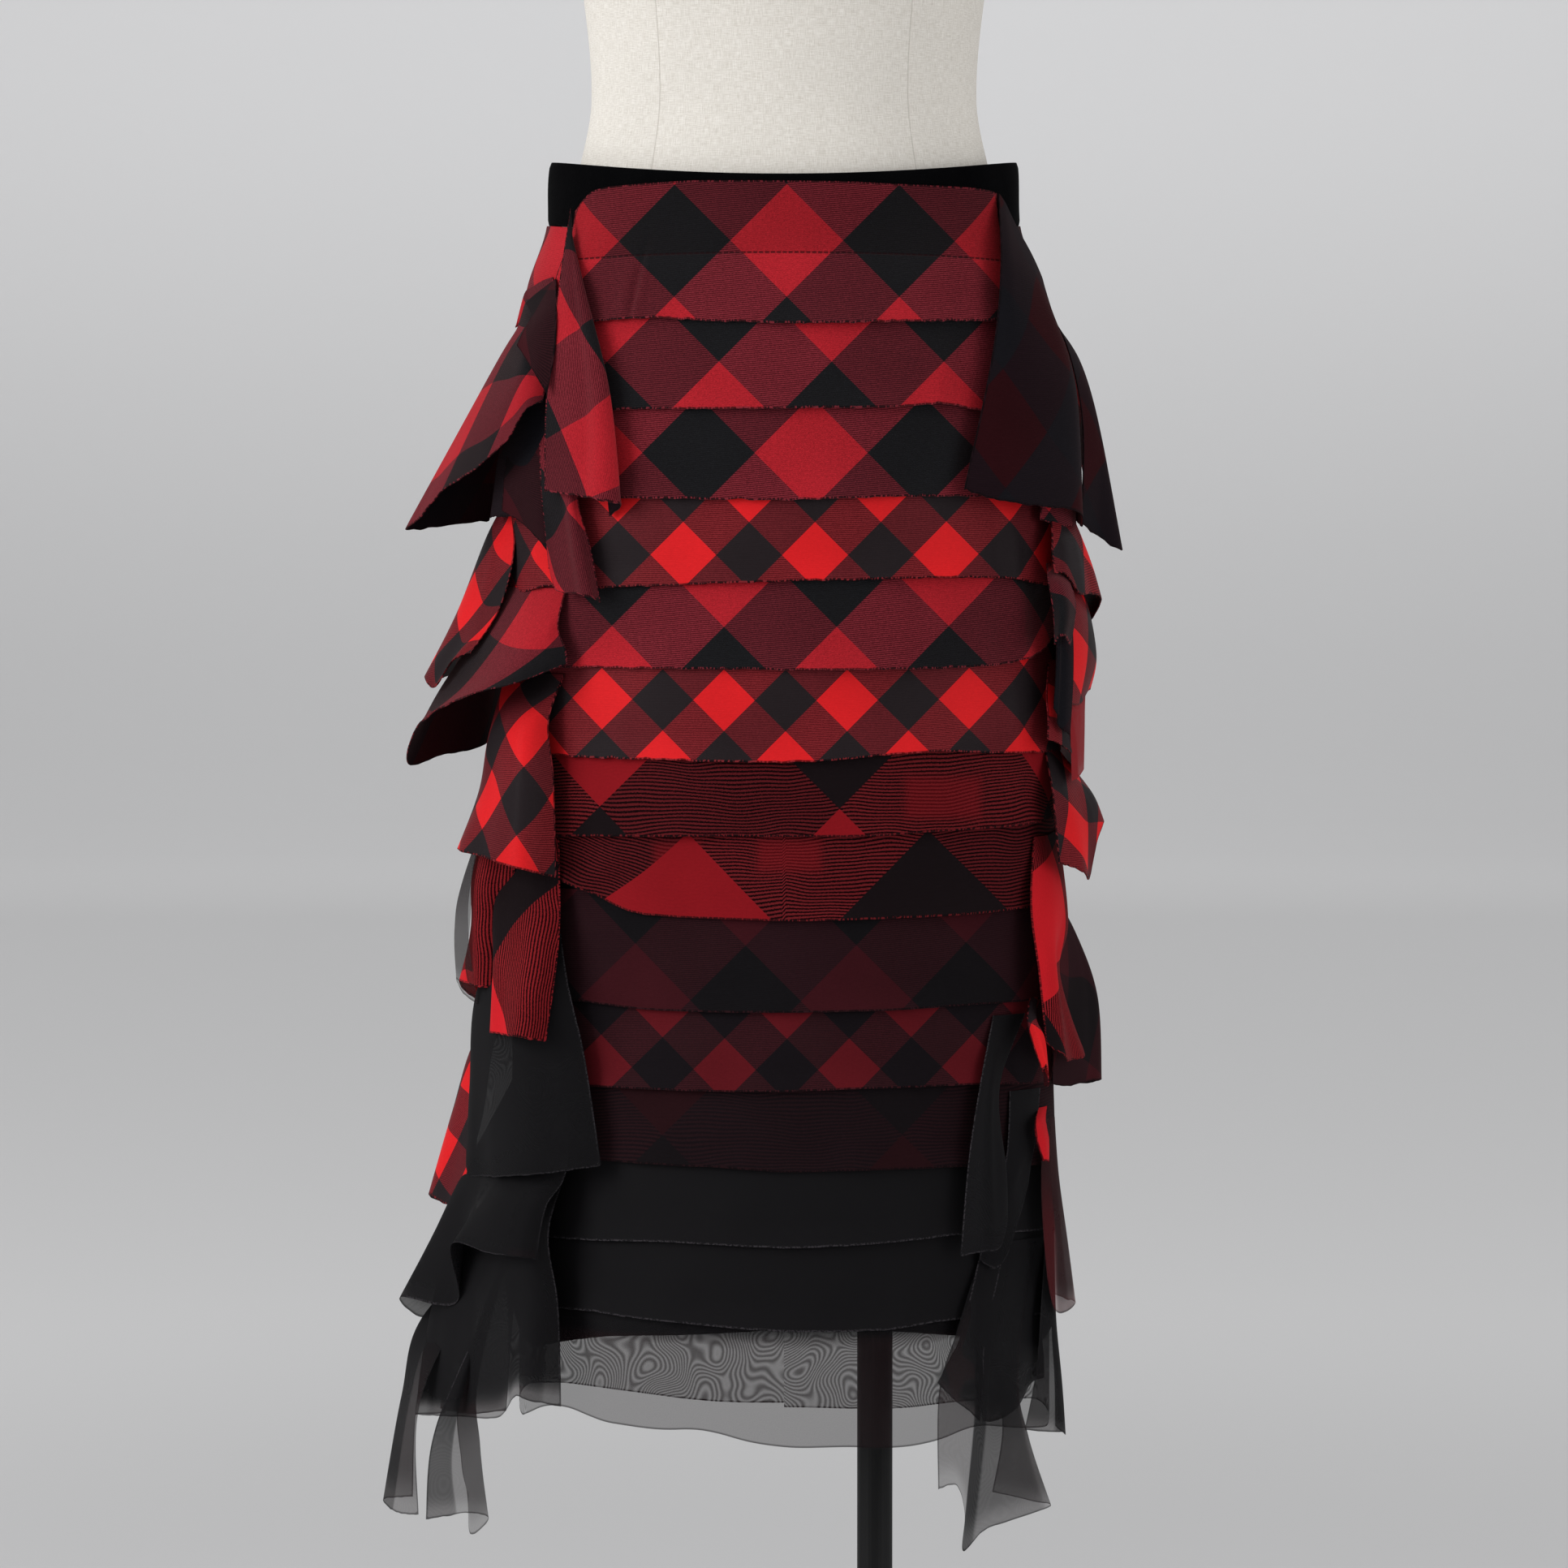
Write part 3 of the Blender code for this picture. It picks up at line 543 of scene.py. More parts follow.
# The dress form, its cap and its stand: heights in metres, insets from the cloth's skin in millimetres

form = {"columns": 192, "hipRows": 39, "chestRows": 111, "foot": 0.700, "waist": 0.955, "neck": 1.485,
        "princess": 39.5, "middleSeam": 0.9, "perDegree": 2.05,
        "insets": ((0.700, 26), (0.7132, 9), (0.7632, 1.7), (0.8622, 1.7), (0.9125, 4.0), (0.955, 8.5))}


def makeForm():
    heights = np.concatenate([np.linspace(form["foot"], form["waist"], form["hipRows"] + 1)[:-1],
                              np.linspace(form["waist"], form["neck"], form["chestRows"])])
    turn, height = np.meshgrid(np.linspace(-180, 180, form["columns"] + 1), heights)
    insets = np.array(form["insets"])
    hips = bodyPoints(turn, height, -np.interp(height, insets[:, 0], insets[:, 1]))
    chest = bodyPoints(turn, height, 0, levels=body["form"])
    points = np.where(height[..., None] > form["waist"], chest, hips)
    seams = [form["middleSeam"], form["princess"], -form["princess"], 90, -90, 180, -180]
    away = np.min([np.abs(turn - seam) for seam in seams], axis=0) * form["perDegree"]
    piece = makeSheet("formTorso", points, turn * form["perDegree"], height * 1000, "linen", closed=True,
                      seam=away)
    bpy.context.view_layer.objects.active = piece
    bpy.ops.object.mode_set(mode="EDIT")
    bpy.ops.mesh.select_all(action="DESELECT")
    bpy.ops.mesh.select_mode(type="EDGE")
    bpy.ops.mesh.select_non_manifold()
    bpy.ops.mesh.fill_holes(sides=0)
    bpy.ops.object.mode_set(mode="OBJECT")
    if piece.data.has_custom_normals:
        bpy.ops.mesh.customdata_custom_splitnormals_clear()
    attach(piece, "root")
    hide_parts("form_torso")


print("dress form")
makeForm()
for node, finish in (("form_neck_cap", "neckWood"), ("stand_pole", "blackSteel"),
                     ("stand_base", "blackSteel")):
    for slot in bpy.data.objects[node].material_slots:
        slot.material = finishes[finish]


# The skirt's strips: heights in metres, cloth sizes in millimetres, turns in degrees

strips = {
    "edges": (0.8975, 0.8476, 0.7972, 0.7482, 0.6982, 0.6457, 0.6022, 0.5538, 0.4998, 0.4542, 0.4081, 0.3638,
              0.3161),
    "stitch": 0.9385, "stitchDip": 0.0012, "lap": 0.015, "gap": 0.4, "lapLift": 1.8, "wall": 0.7,
    "columns": 300, "rows": 18, "rowPower": 0.85, "end": 109.85, "blendFrom": 82, "blendTo": 114,
    "flare": 2.6, "flarePower": 1.6, "flareMost": 1.1, "sway": 0.7, "creaseReach": 2.2, "flatFrom": 66,
    "flatTo": 72, "flatShare": 0.85,
    "thickRows": 6, "thickCut": 0.35, "thinCut": 0.12, "perDegree": 2.5, "bendFrom": 38, "bendOver": 40,
    "follow": 25, "glow": 0.32, "glowSoft": 16, "frontSeed": 40, "backSeed": 80,
    "backFirst": 0.8975, "backLast": 0.2860, "backTop": 0.988, "backEnd": 70, "backColumns": 250,
}


def backEdge(index):
    first, last = strips["backFirst"], strips["backLast"]
    return first + (last - first) * index / (len(strips["edges"]) - 1)


def toBack(turn):
    # 0 in front and 1 behind, as the strips' heights change over at the sides
    away = np.abs((np.asarray(turn, float) + 180) % 360 - 180)
    return smoothStep((away - strips["blendFrom"]) / (strips["blendTo"] - strips["blendFrom"]))


def seamHeight(number, turn):
    # strip number is sewn on along this line, from centre front (0) round to centre back (180)
    if number == 1:
        return np.full(np.shape(turn), strips["stitch"])
    front = strips["edges"][number - 2] + strips["lap"]
    return front + (backEdge(number - 2) + strips["lap"] - front) * toBack(turn)


# For each front strip: its cloth, the pixels of its raw edge from left to right, the pixel at the middle of
# a red diamond, and its creases (pixel across, pixel down, length, width, lean, depth in mm)
frontStrips = (
    {"cloth": "largeStitchedPaintedShade", "red": (969, 296), "turns": (-61, 63.5),
     "edge": ((690, 394), (734, 396), (769, 392), (802, 391), (850, 394), (900, 396), (975, 398),
              (1101, 396), (1175, 395), (1240, 394)),
     "creases": ((779, 362, 100, 2.6, 3, -1.5), (787, 366, 80, 3.5, 5, 1.8), (766, 370, 60, 5, -4, 1.6),
                 (742, 300, 26, 8, 60, 1.3), (716, 320, 90, 8, -8, 1.4), (1206, 330, 120, 9, 5, 1.3),
                 (1188, 350, 70, 7, 8, -0.8), (900, 270, 90, 26, 70, 0.7))},
    {"cloth": "large", "red": (885, 515),
     "edge": ((662, 508), (765, 504), (922, 503), (1116, 501), (1140, 499), (1159, 496), (1180, 500),
              (1210, 506), (1270, 508)),
     "creases": ((1158, 470, 90, 8, 8, 2.4), (1190, 465, 80, 7, 4, -1.2), (790, 450, 90, 12, -10, 1.2),
                 (1010, 480, 60, 14, 5, 0.8))},
    {"cloth": "large", "red": (1000, 558),
     "edge": ((662, 612), (765, 613), (900, 615), (965, 616), (1086, 612), (1207, 611), (1270, 612)),
     "creases": ((1175, 560, 90, 9, 12, 1.9), (1120, 590, 50, 10, 6, -0.9), (790, 560, 100, 10, -8, 1.5),
                 (930, 590, 50, 16, 0, 0.9))},
    {"cloth": "small", "red": (1005, 684), "size": 38,
     "edge": ((600, 726), (627, 730), (652, 729), (676, 721), (737, 724), (843, 720), (965, 716),
              (1060, 714), (1177, 711), (1240, 712), (1286, 721)),
     "creases": ((660, 690, 90, 7, 4, 2.0), (1252, 680, 110, 7, -6, 2.4), (1232, 690, 80, 6, -4, -1.3),
                 (900, 700, 60, 18, 8, 0.9), (1090, 696, 60, 12, -8, 0.9))},
    {"cloth": "large", "red": (1033, 842),
     "edge": ((662, 824), (689, 822), (780, 823), (922, 825), (1086, 825), (1160, 823), (1231, 820),
              (1270, 810), (1290, 798), (1301, 785), (1309, 766)),
     "creases": ((1262, 775, 110, 8, -7, 2.2), (1236, 790, 70, 7, -4, -1.2), (820, 800, 60, 12, 6, 1.0),
                 (1110, 795, 70, 14, 10, 1.1))},
    {"cloth": "small", "red": (1045, 863), "size": 35.5,
     "edge": ((662, 928), (680, 930), (740, 934), (819, 936), (900, 939), (1007, 939), (1086, 931),
              (1159, 925), (1231, 928), (1286, 927)),
     "creases": ((1150, 900, 80, 12, 8, 1.6), (1030, 910, 60, 12, -6, 1.1), (1256, 890, 100, 8, -6, 2.0),
                 (760, 900, 70, 12, 6, 1.1))},
    {"cloth": "sheer", "red": (1034, 1145), "glow": ((1109, 950, 1216, 1015),),
     "edge": ((662, 1030), (731, 1030), (892, 1030), (1025, 1031), (1080, 1030), (1146, 1025), (1210, 1021),
              (1274, 1014), (1290, 1010)),
     "creases": ((700, 990, 90, 9, -10, 1.8), (1250, 985, 90, 9, 10, 1.6), (840, 1005, 50, 22, 80, 0.8))},
    {"cloth": "sheer", "red": (847, 1172), "follow": 1,
     "glow": ((798, 1031, 869, 1074), (926, 1027, 1019, 1081)),
     "edge": ((662, 1078), (692, 1085), (712, 1092), (737, 1104), (760, 1117), (784, 1126), (830, 1130),
              (882, 1132), (977, 1135), (1060, 1133), (1198, 1126), (1267, 1118), (1290, 1114)),
     "creases": ((722, 1080, 110, 8, 58, 3.0), (756, 1090, 100, 7, 55, -1.2), (1230, 1090, 80, 10, -8, 1.6),
                 (960, 1100, 60, 18, 0, 0.9))},
    {"cloth": "veiled", "red": (1055, 1233),
     "edge": ((662, 1228), (718, 1234), (793, 1244), (882, 1247), (1008, 1247), (1109, 1244), (1198, 1238),
              (1280, 1231)),
     "creases": ((760, 1200, 90, 14, 40, 1.4), (1180, 1200, 80, 12, -10, 1.3))},
    {"cloth": "veiledSmall", "red": (1049, 1318),
     "edge": ((662, 1333), (727, 1338), (800, 1342), (894, 1345), (970, 1345), (1046, 1342), (1120, 1340),
              (1196, 1336), (1290, 1334)),
     "creases": ((860, 1315, 60, 12, 6, 1.3), (1130, 1310, 60, 12, -6, 1.2), (990, 1320, 50, 10, 0, -0.9))},
    {"cloth": "veiledDark", "red": (1115, 1546),
     "edge": ((662, 1424), (740, 1429), (800, 1434), (882, 1438), (970, 1445), (1060, 1442), (1182, 1437),
              (1290, 1434)),
     "creases": ((800, 1410, 60, 12, 6, 1.2), (1060, 1415, 60, 12, -6, 1.4))},
    {"cloth": "chiffon", "red": (968, 1500),
     "edge": ((662, 1522), (711, 1527), (819, 1530), (900, 1535), (970, 1538), (1071, 1533), (1185, 1520),
              (1290, 1515)),
     "creases": ((900, 1500, 70, 16, 30, 1.4), (740, 1500, 60, 12, -20, 1.6),
                 (1130, 1505, 60, 14, 10, 1.3))},
    {"cloth": "chiffon", "red": (968, 1600),
     "edge": ((662, 1608), (727, 1615), (765, 1622), (850, 1631), (950, 1640), (1025, 1641), (1100, 1638),
              (1150, 1629), (1200, 1623), (1290, 1618)),
     "creases": ((1120, 1600, 60, 10, 12, 1.6), (820, 1600, 70, 14, 30, 1.4), (1010, 1610, 60, 16, 0, 0.9))},
)
# The top edge of the first strip, with its two turned corners
firstTop = ((700, 262), (702, 266), (707, 254), (719, 240), (727, 234), (748, 229.7), (800, 225), (851, 222),
            (950, 222), (1040, 223), (1100, 226), (1200, 231), (1224, 234), (1236, 240))
# Behind: where a red diamond's middle falls (turn, height in mm), and creases (turn, height, length, width,
# lean, depth), similar to those in front
backStrips = (
    ("large", (186, 946), ((150, 915, 60, 6, 5, 2.0), (205, 912, 70, 9, -8, 1.4),
                           (176, 905, 40, 8, 4, 1.0))),
    ("large", (172, 868), ((160, 862, 70, 8, 8, 2.2), (214, 860, 80, 7, -6, 1.8))),
    ("large", (188, 812), ((140, 812, 80, 8, -8, 1.8), (196, 806, 50, 12, 0, 1.0),
                           (224, 815, 80, 7, 6, 2.0))),
    ("small", (178, 764), ((168, 758, 60, 12, 8, 1.2), (232, 765, 80, 7, -6, 2.0))),
    ("large", (184, 694), ((128, 712, 80, 7, 6, 2.2), (190, 704, 60, 14, -8, 1.2))),
    ("small", (176, 660), ((150, 655, 70, 10, 8, 1.6), (210, 652, 60, 12, -6, 1.2))),
    ("sheer", (192, 560), ((134, 606, 80, 9, 40, 2.4), (204, 600, 60, 16, 10, 1.1))),
    ("sheer", (166, 600), ((226, 556, 90, 8, -50, 2.4), (170, 548, 60, 16, 0, 1.1))),
    ("veiled", (184, 500), ((150, 502, 80, 12, 30, 1.4), (214, 500, 70, 10, -12, 1.3))),
    ("veiledSmall", (178, 448), ((164, 446, 60, 12, 6, 1.3), (222, 448, 60, 10, -6, 1.3))),
    ("veiledDark", (190, 360), ((140, 396, 60, 12, 8, 1.4), (200, 394, 60, 12, -6, 1.2))),
    ("chiffon", (180, 340), ((152, 346, 70, 14, 24, 1.4), (212, 344, 60, 12, -10, 1.5))),
    ("chiffon", (180, 300), ((168, 296, 60, 12, 10, 1.4), (220, 300, 60, 10, -14, 1.6))),
)
# The cloths whose inner side looks different, and the cloth of that side
undersides = {"large": "reverse", "largeStitchedPaintedShade": "reverse", "veiled": "reverse", "small": "reverseSmall",
              "veiledSmall": "reverseSmall", "reverse": "large"}


def creaseLift(turn, height, creases):
    # soft ridges and troughs, each (turn, height in mm, length, width, lean in degrees, depth in mm)
    lift = np.zeros(np.broadcast(turn, height).shape)
    for middle, level, length, width, lean, depth in creases:
        across, up = (turn - middle) * strips["perDegree"], height * 1000 - level
        cosine, sine = math.cos(math.radians(lean)), math.sin(math.radians(lean))
        beside, along = across * cosine - up * sine, up * cosine + across * sine
        lift += depth * np.exp(-(beside / width) ** 2) * np.exp(-(2 * along / length) ** 2)
    return lift


def stripPoints(index, turns, edge, top, creases, seed):
    down = (np.linspace(0, 1, strips["rows"]) ** strips["rowPower"])[:, None]
    height = top + (edge - top) * down
    uneven = strips["thickCut" if index < strips["thickRows"] else "thinCut"]
    height[-1] += cutLine(seed, uneven, len(turns)) * 0.001
    lap = edge + strips["lap"]
    rise = smoothStep((top - height) / (top - lap))
    flare = np.clip((lap - height) / strips["lap"], 0, strips["flareMost"]) ** strips["flarePower"]
    sway = waves(turns, ((1, 4, index * 1.7), (0.6, 9, index * 2.9)))
    lively = 1
    if turns[0] < 0:
        # under the loose ends the strips lie flat
        beside = (np.abs(turns) - strips["flatFrom"]) / (strips["flatTo"] - strips["flatFrom"])
        lively = 1 - strips["flatShare"] * smoothStep(beside)
    out = strips["gap"] + strips["wall"] + (strips["lapLift"] - strips["gap"]) * rise
    out = out + (strips["flare"] + strips["sway"] * sway) * flare * lively
    free = smoothStep((top - height) / (top - edge) * strips["creaseReach"])
    out = out + creaseLift(turns[None, :], height, creases) * free
    return bodyPoints(turns[None, :], height, np.maximum(out, strips["gap"] + strips["wall"]))[::-1]


def frontMeasure(points, turns):
    # cloth measure from centre front; the broad front is so flat that its checks keep their width there
    steps = np.diff(points, axis=1)
    arc = np.linalg.norm(steps, axis=2) * 1000
    bend = smoothStep((np.abs(turns[1:]) - strips["bendFrom"]) / strips["bendOver"])
    width = np.abs(steps[:, :, 0]) * 1000 * (1 - bend) + arc * bend
    across = np.concatenate([np.zeros((len(points), 1)), np.cumsum(width, axis=1)], axis=1)
    middle = np.argmin(np.abs(turns))
    return across - across[:, middle:middle + 1]


def glowAt(points, boxes):
    # where the cloth behind shows through, in boxes of pixels
    pixels = toPhoto(points)
    glow = np.zeros(points.shape[:2])
    for left, high, right, low in boxes:
        inside = np.minimum(np.minimum(pixels[..., 0] - left, right - pixels[..., 0]),
                            np.minimum(pixels[..., 1] - high, low - pixels[..., 1]))
        glow = np.maximum(glow, smoothStep(inside / strips["glowSoft"]) * strips["glow"])
    return glow


def makeFrontStrips():
    for index, strip in enumerate(frontStrips):
        first, last = strip.get("turns", (-strips["end"], strips["end"]))
        turns = np.linspace(first, last, strips["columns"])
        edge = edgeHeights(strip["edge"], turns)
        edge = edge + (backEdge(index) - edge) * toBack(turns)
        top = edgeHeights(firstTop, turns) if index == 0 else seamHeight(index + 1, turns)
        creases = []
        for right, down, length, width, lean, depth in strip["creases"]:
            turn, height = onSkin(right, down)
            creases.append((turn, height * 1000, length * reading["pixel"], width, lean, depth))
        points = stripPoints(index, turns, edge, top, creases, strips["frontSeed"] + index)
        across = frontMeasure(points, turns)
        up = points[..., 2] * 1000
        raw = rawDistance(across, up, top=index == 0)
        if "follow" in strip:
            # the stripes run along the edge where it turns up at the left
            soft = averaged(edge, strips["follow"])
            up = up - 1000 * (soft - np.median(edge)) * (turns < 0) * (1 - toBack(turns))
        turn, height = onSkin(*strip["red"])
        column = np.argmin(np.abs(turns - turn))
        size = checks[strip["cloth"]]["size"] / strip["size"] if "size" in strip else 1
        stitch = up - 1000 * strips["stitch"] + strips["stitchDip"] * np.abs(turns) ** 2
        piece = makeSheet(f"frontStrip{index + 1:02d}", points,
                          (across - across.mean(axis=0)[column]) * size, (up - height * 1000) * size,
                          strip["cloth"], undersides.get(strip["cloth"]),
                          strips["wall"], raw=raw, stitch=stitch, glow=glowAt(points, strip.get("glow", ())),
                          layers=8, moire=0)
        place(piece, f"front_strip_{index + 1:02d}",
              points)


def makeBackStrips():
    turns = np.linspace(180 - strips["backEnd"], 180 + strips["backEnd"], strips["backColumns"])
    for index, (cloth, red, creases) in enumerate(backStrips):
        edge = waves(turns, ((0.0011, 3, index * 2.1), (0.0008, 7, index)), backEdge(index))
        top = np.full(turns.shape, strips["backTop"]) if index == 0 else seamHeight(index + 1, turns)
        points = stripPoints(index, turns, edge, top, creases, strips["backSeed"] + index)
        across = gridSteps(points)[0]
        up = points[..., 2] * 1000
        column = np.argmin(np.abs(turns - red[0]))
        piece = makeSheet(f"backStrip{index + 1:02d}", points, across - across.mean(axis=0)[column],
                          up - red[1], cloth, undersides.get(cloth), strips["wall"],
                          raw=rawDistance(across, up, top=index == 0), glow=0, layers=8, moire=0)
        place(piece, f"back_strip_{index + 1:02d}", points)


# The tubes under the strips: heights in metres, walls and waves in millimetres, turns in degrees

tubes = {
    "columns": 288, "bandRows": 13, "bandTop": 0.993, "bandHeight": 0.037, "bandDip": 0.009, "bandWall": 1.2,
    "bulge": 0.9, "edgeRound": 0.9, "ripple": 0.35, "ripples": 11, "bareFrom": 64, "bareTo": 118,
    "bareSoft": 8, "yokeRows": 40, "yokeWall": 0.8, "yokeRed": (-30, 935), "yokeInset": 0.1, "pucker": 0.5,
    "puckers": 23, "puckerFade": 9, "seamGap": 0.3, "yokeLine": 4, "skirtRows": 90, "sheerTo": 0.305,
    "sheerSoft": 0.02, "sheerLayers": 5, "moire": 0.22, "moireFrom": 60, "moireOver": 40,
    "hemWaves": ((1.2, 6, 0.6), (0.9, 11, 2)), "waveFrom": 0.75, "backFrom": 80, "backOver": 30,
    "hemFront": ((612, 1746), (647, 1740), (667, 1730), (690, 1734), (708, 1738), (727, 1751), (769, 1757),
                 (800, 1763), (823, 1764), (865, 1761), (900, 1774), (950, 1783), (1000, 1786), (1035, 1783),
                 (1104, 1786), (1127, 1783), (1150, 1779), (1173, 1773), (1192, 1765), (1208, 1756),
                 (1260, 1760), (1300, 1758)),
    "hemBack": ((640, 1704), (690, 1703), (750, 1711), (800, 1717), (850, 1724), (900, 1728), (1000, 1733),
                (1050, 1735), (1104, 1735), (1150, 1731), (1173, 1727), (1290, 1722)),
}


def bandDip(turn):
    return tubes["bandDip"] * np.maximum(np.cos(np.radians(turn)), 0) ** 2


def makeWaistband(turns):
    # velvet, softly rounded where no strip lies on it
    away = np.abs(turns)
    down = np.linspace(0, 1, tubes["bandRows"])[:, None]
    height = tubes["bandTop"] - tubes["bandHeight"] * down - bandDip(turns)
    bare = (smoothStep((away - tubes["bareFrom"]) / tubes["bareSoft"])
            * smoothStep((tubes["bareTo"] - away) / tubes["bareSoft"]))
    swell = np.sin(math.pi * down)
    puff = tubes["bulge"] * swell * bare - tubes["edgeRound"] * (np.abs(down * 2 - 1) ** 12)
    ripple = tubes["ripple"] * np.sin(np.radians(turns) * tubes["ripples"]) * swell * bare
    points = bodyPoints(turns[None, :], height, puff + ripple)[::-1]
    piece = makeSheet("waistbandVelvet", points, gridSteps(points)[0], points[..., 2] * 1000, "velvet",
                      "velvet", tubes["bandWall"], True)
    place(piece, "waistband", points)


def makeHipYoke(turns, bottom):
    top = tubes["bandTop"] - tubes["bandHeight"] - tubes["seamGap"] / 1000 - bandDip(turns)
    down = np.linspace(0, 1, tubes["yokeRows"])[:, None]
    pucker = tubes["pucker"] * np.sin(np.radians(turns) * tubes["puckers"])
    pucker = pucker * np.exp(-down * tubes["puckerFade"])
    points = bodyPoints(turns[None, :], top + (bottom - top) * down, pucker - tubes["yokeInset"])[::-1]
    across, up = gridSteps(points)[0], points[..., 2] * 1000
    redAcross, redUp = tubes["yokeRed"]
    piece = makeSheet("hipYoke", points, across - redAcross, up - redUp, "large", "reverse",
                      tubes["yokeWall"], True, raw=sheets["far"])
    place(piece, "hip_yoke", points)


def makeUnderskirt(turns, top):
    # sheer down to the hem, and many layers deep above its last stretch
    away = np.abs(turns)
    front = edgeHeights(tubes["hemFront"], turns)
    back = edgeHeights(tubes["hemBack"], turns, behind=True)
    hem = front + (back - front) * smoothStep((away - tubes["backFrom"]) / tubes["backOver"])
    share = np.linspace(0, 1, tubes["skirtRows"])[:, None]
    height = top + (hem - top) * share
    wave = waves(turns, tubes["hemWaves"]) * smoothStep((share - tubes["waveFrom"]) * 4)
    points = bodyPoints(turns[None, :], height, wave)[::-1]
    across, up = gridSteps(points)[0], points[..., 2] * 1000
    layers = 1 + tubes["sheerLayers"] * smoothStep((height[::-1] - tubes["sheerTo"]) / tubes["sheerSoft"])
    moire = tubes["moire"] * smoothStep((away - tubes["moireFrom"]) / tubes["moireOver"])
    piece = makeSheet("underskirtSheer", points, across, up, "chiffon", closed=True,
                      raw=rawDistance(across, up, left=False, right=False),
                      moire=moire, layers=layers)
    place(piece, "underskirt", points)


print("skirt tubes")
aroundTurns = np.linspace(-180, 180, tubes["columns"] + 1)
makeWaistband(aroundTurns)
makeHipYoke(aroundTurns, seamHeight(tubes["yokeLine"], aroundTurns))
makeUnderskirt(aroundTurns, seamHeight(tubes["yokeLine"], aroundTurns))
print("front strips")
makeFrontStrips()
print("back strips")
makeBackStrips()


# The loose ends. Each row of numbers is a line down the cloth, three to a place: its root on the body (turn
# away from the front, height in mm, mm off the skin), then pixels of the photograph (across, down, mm ahead
# of the body's middle). Rows start at the end nearer the front. Lay is how the check lies: the pixel at the
# middle of a red or black diamond, its turn in degrees, its shift across and up in mm, and its enlargement.
# Folds are (place across from 0 to 1, width, depth in mm at the tip), pleats (from, to, layers of chiffon).

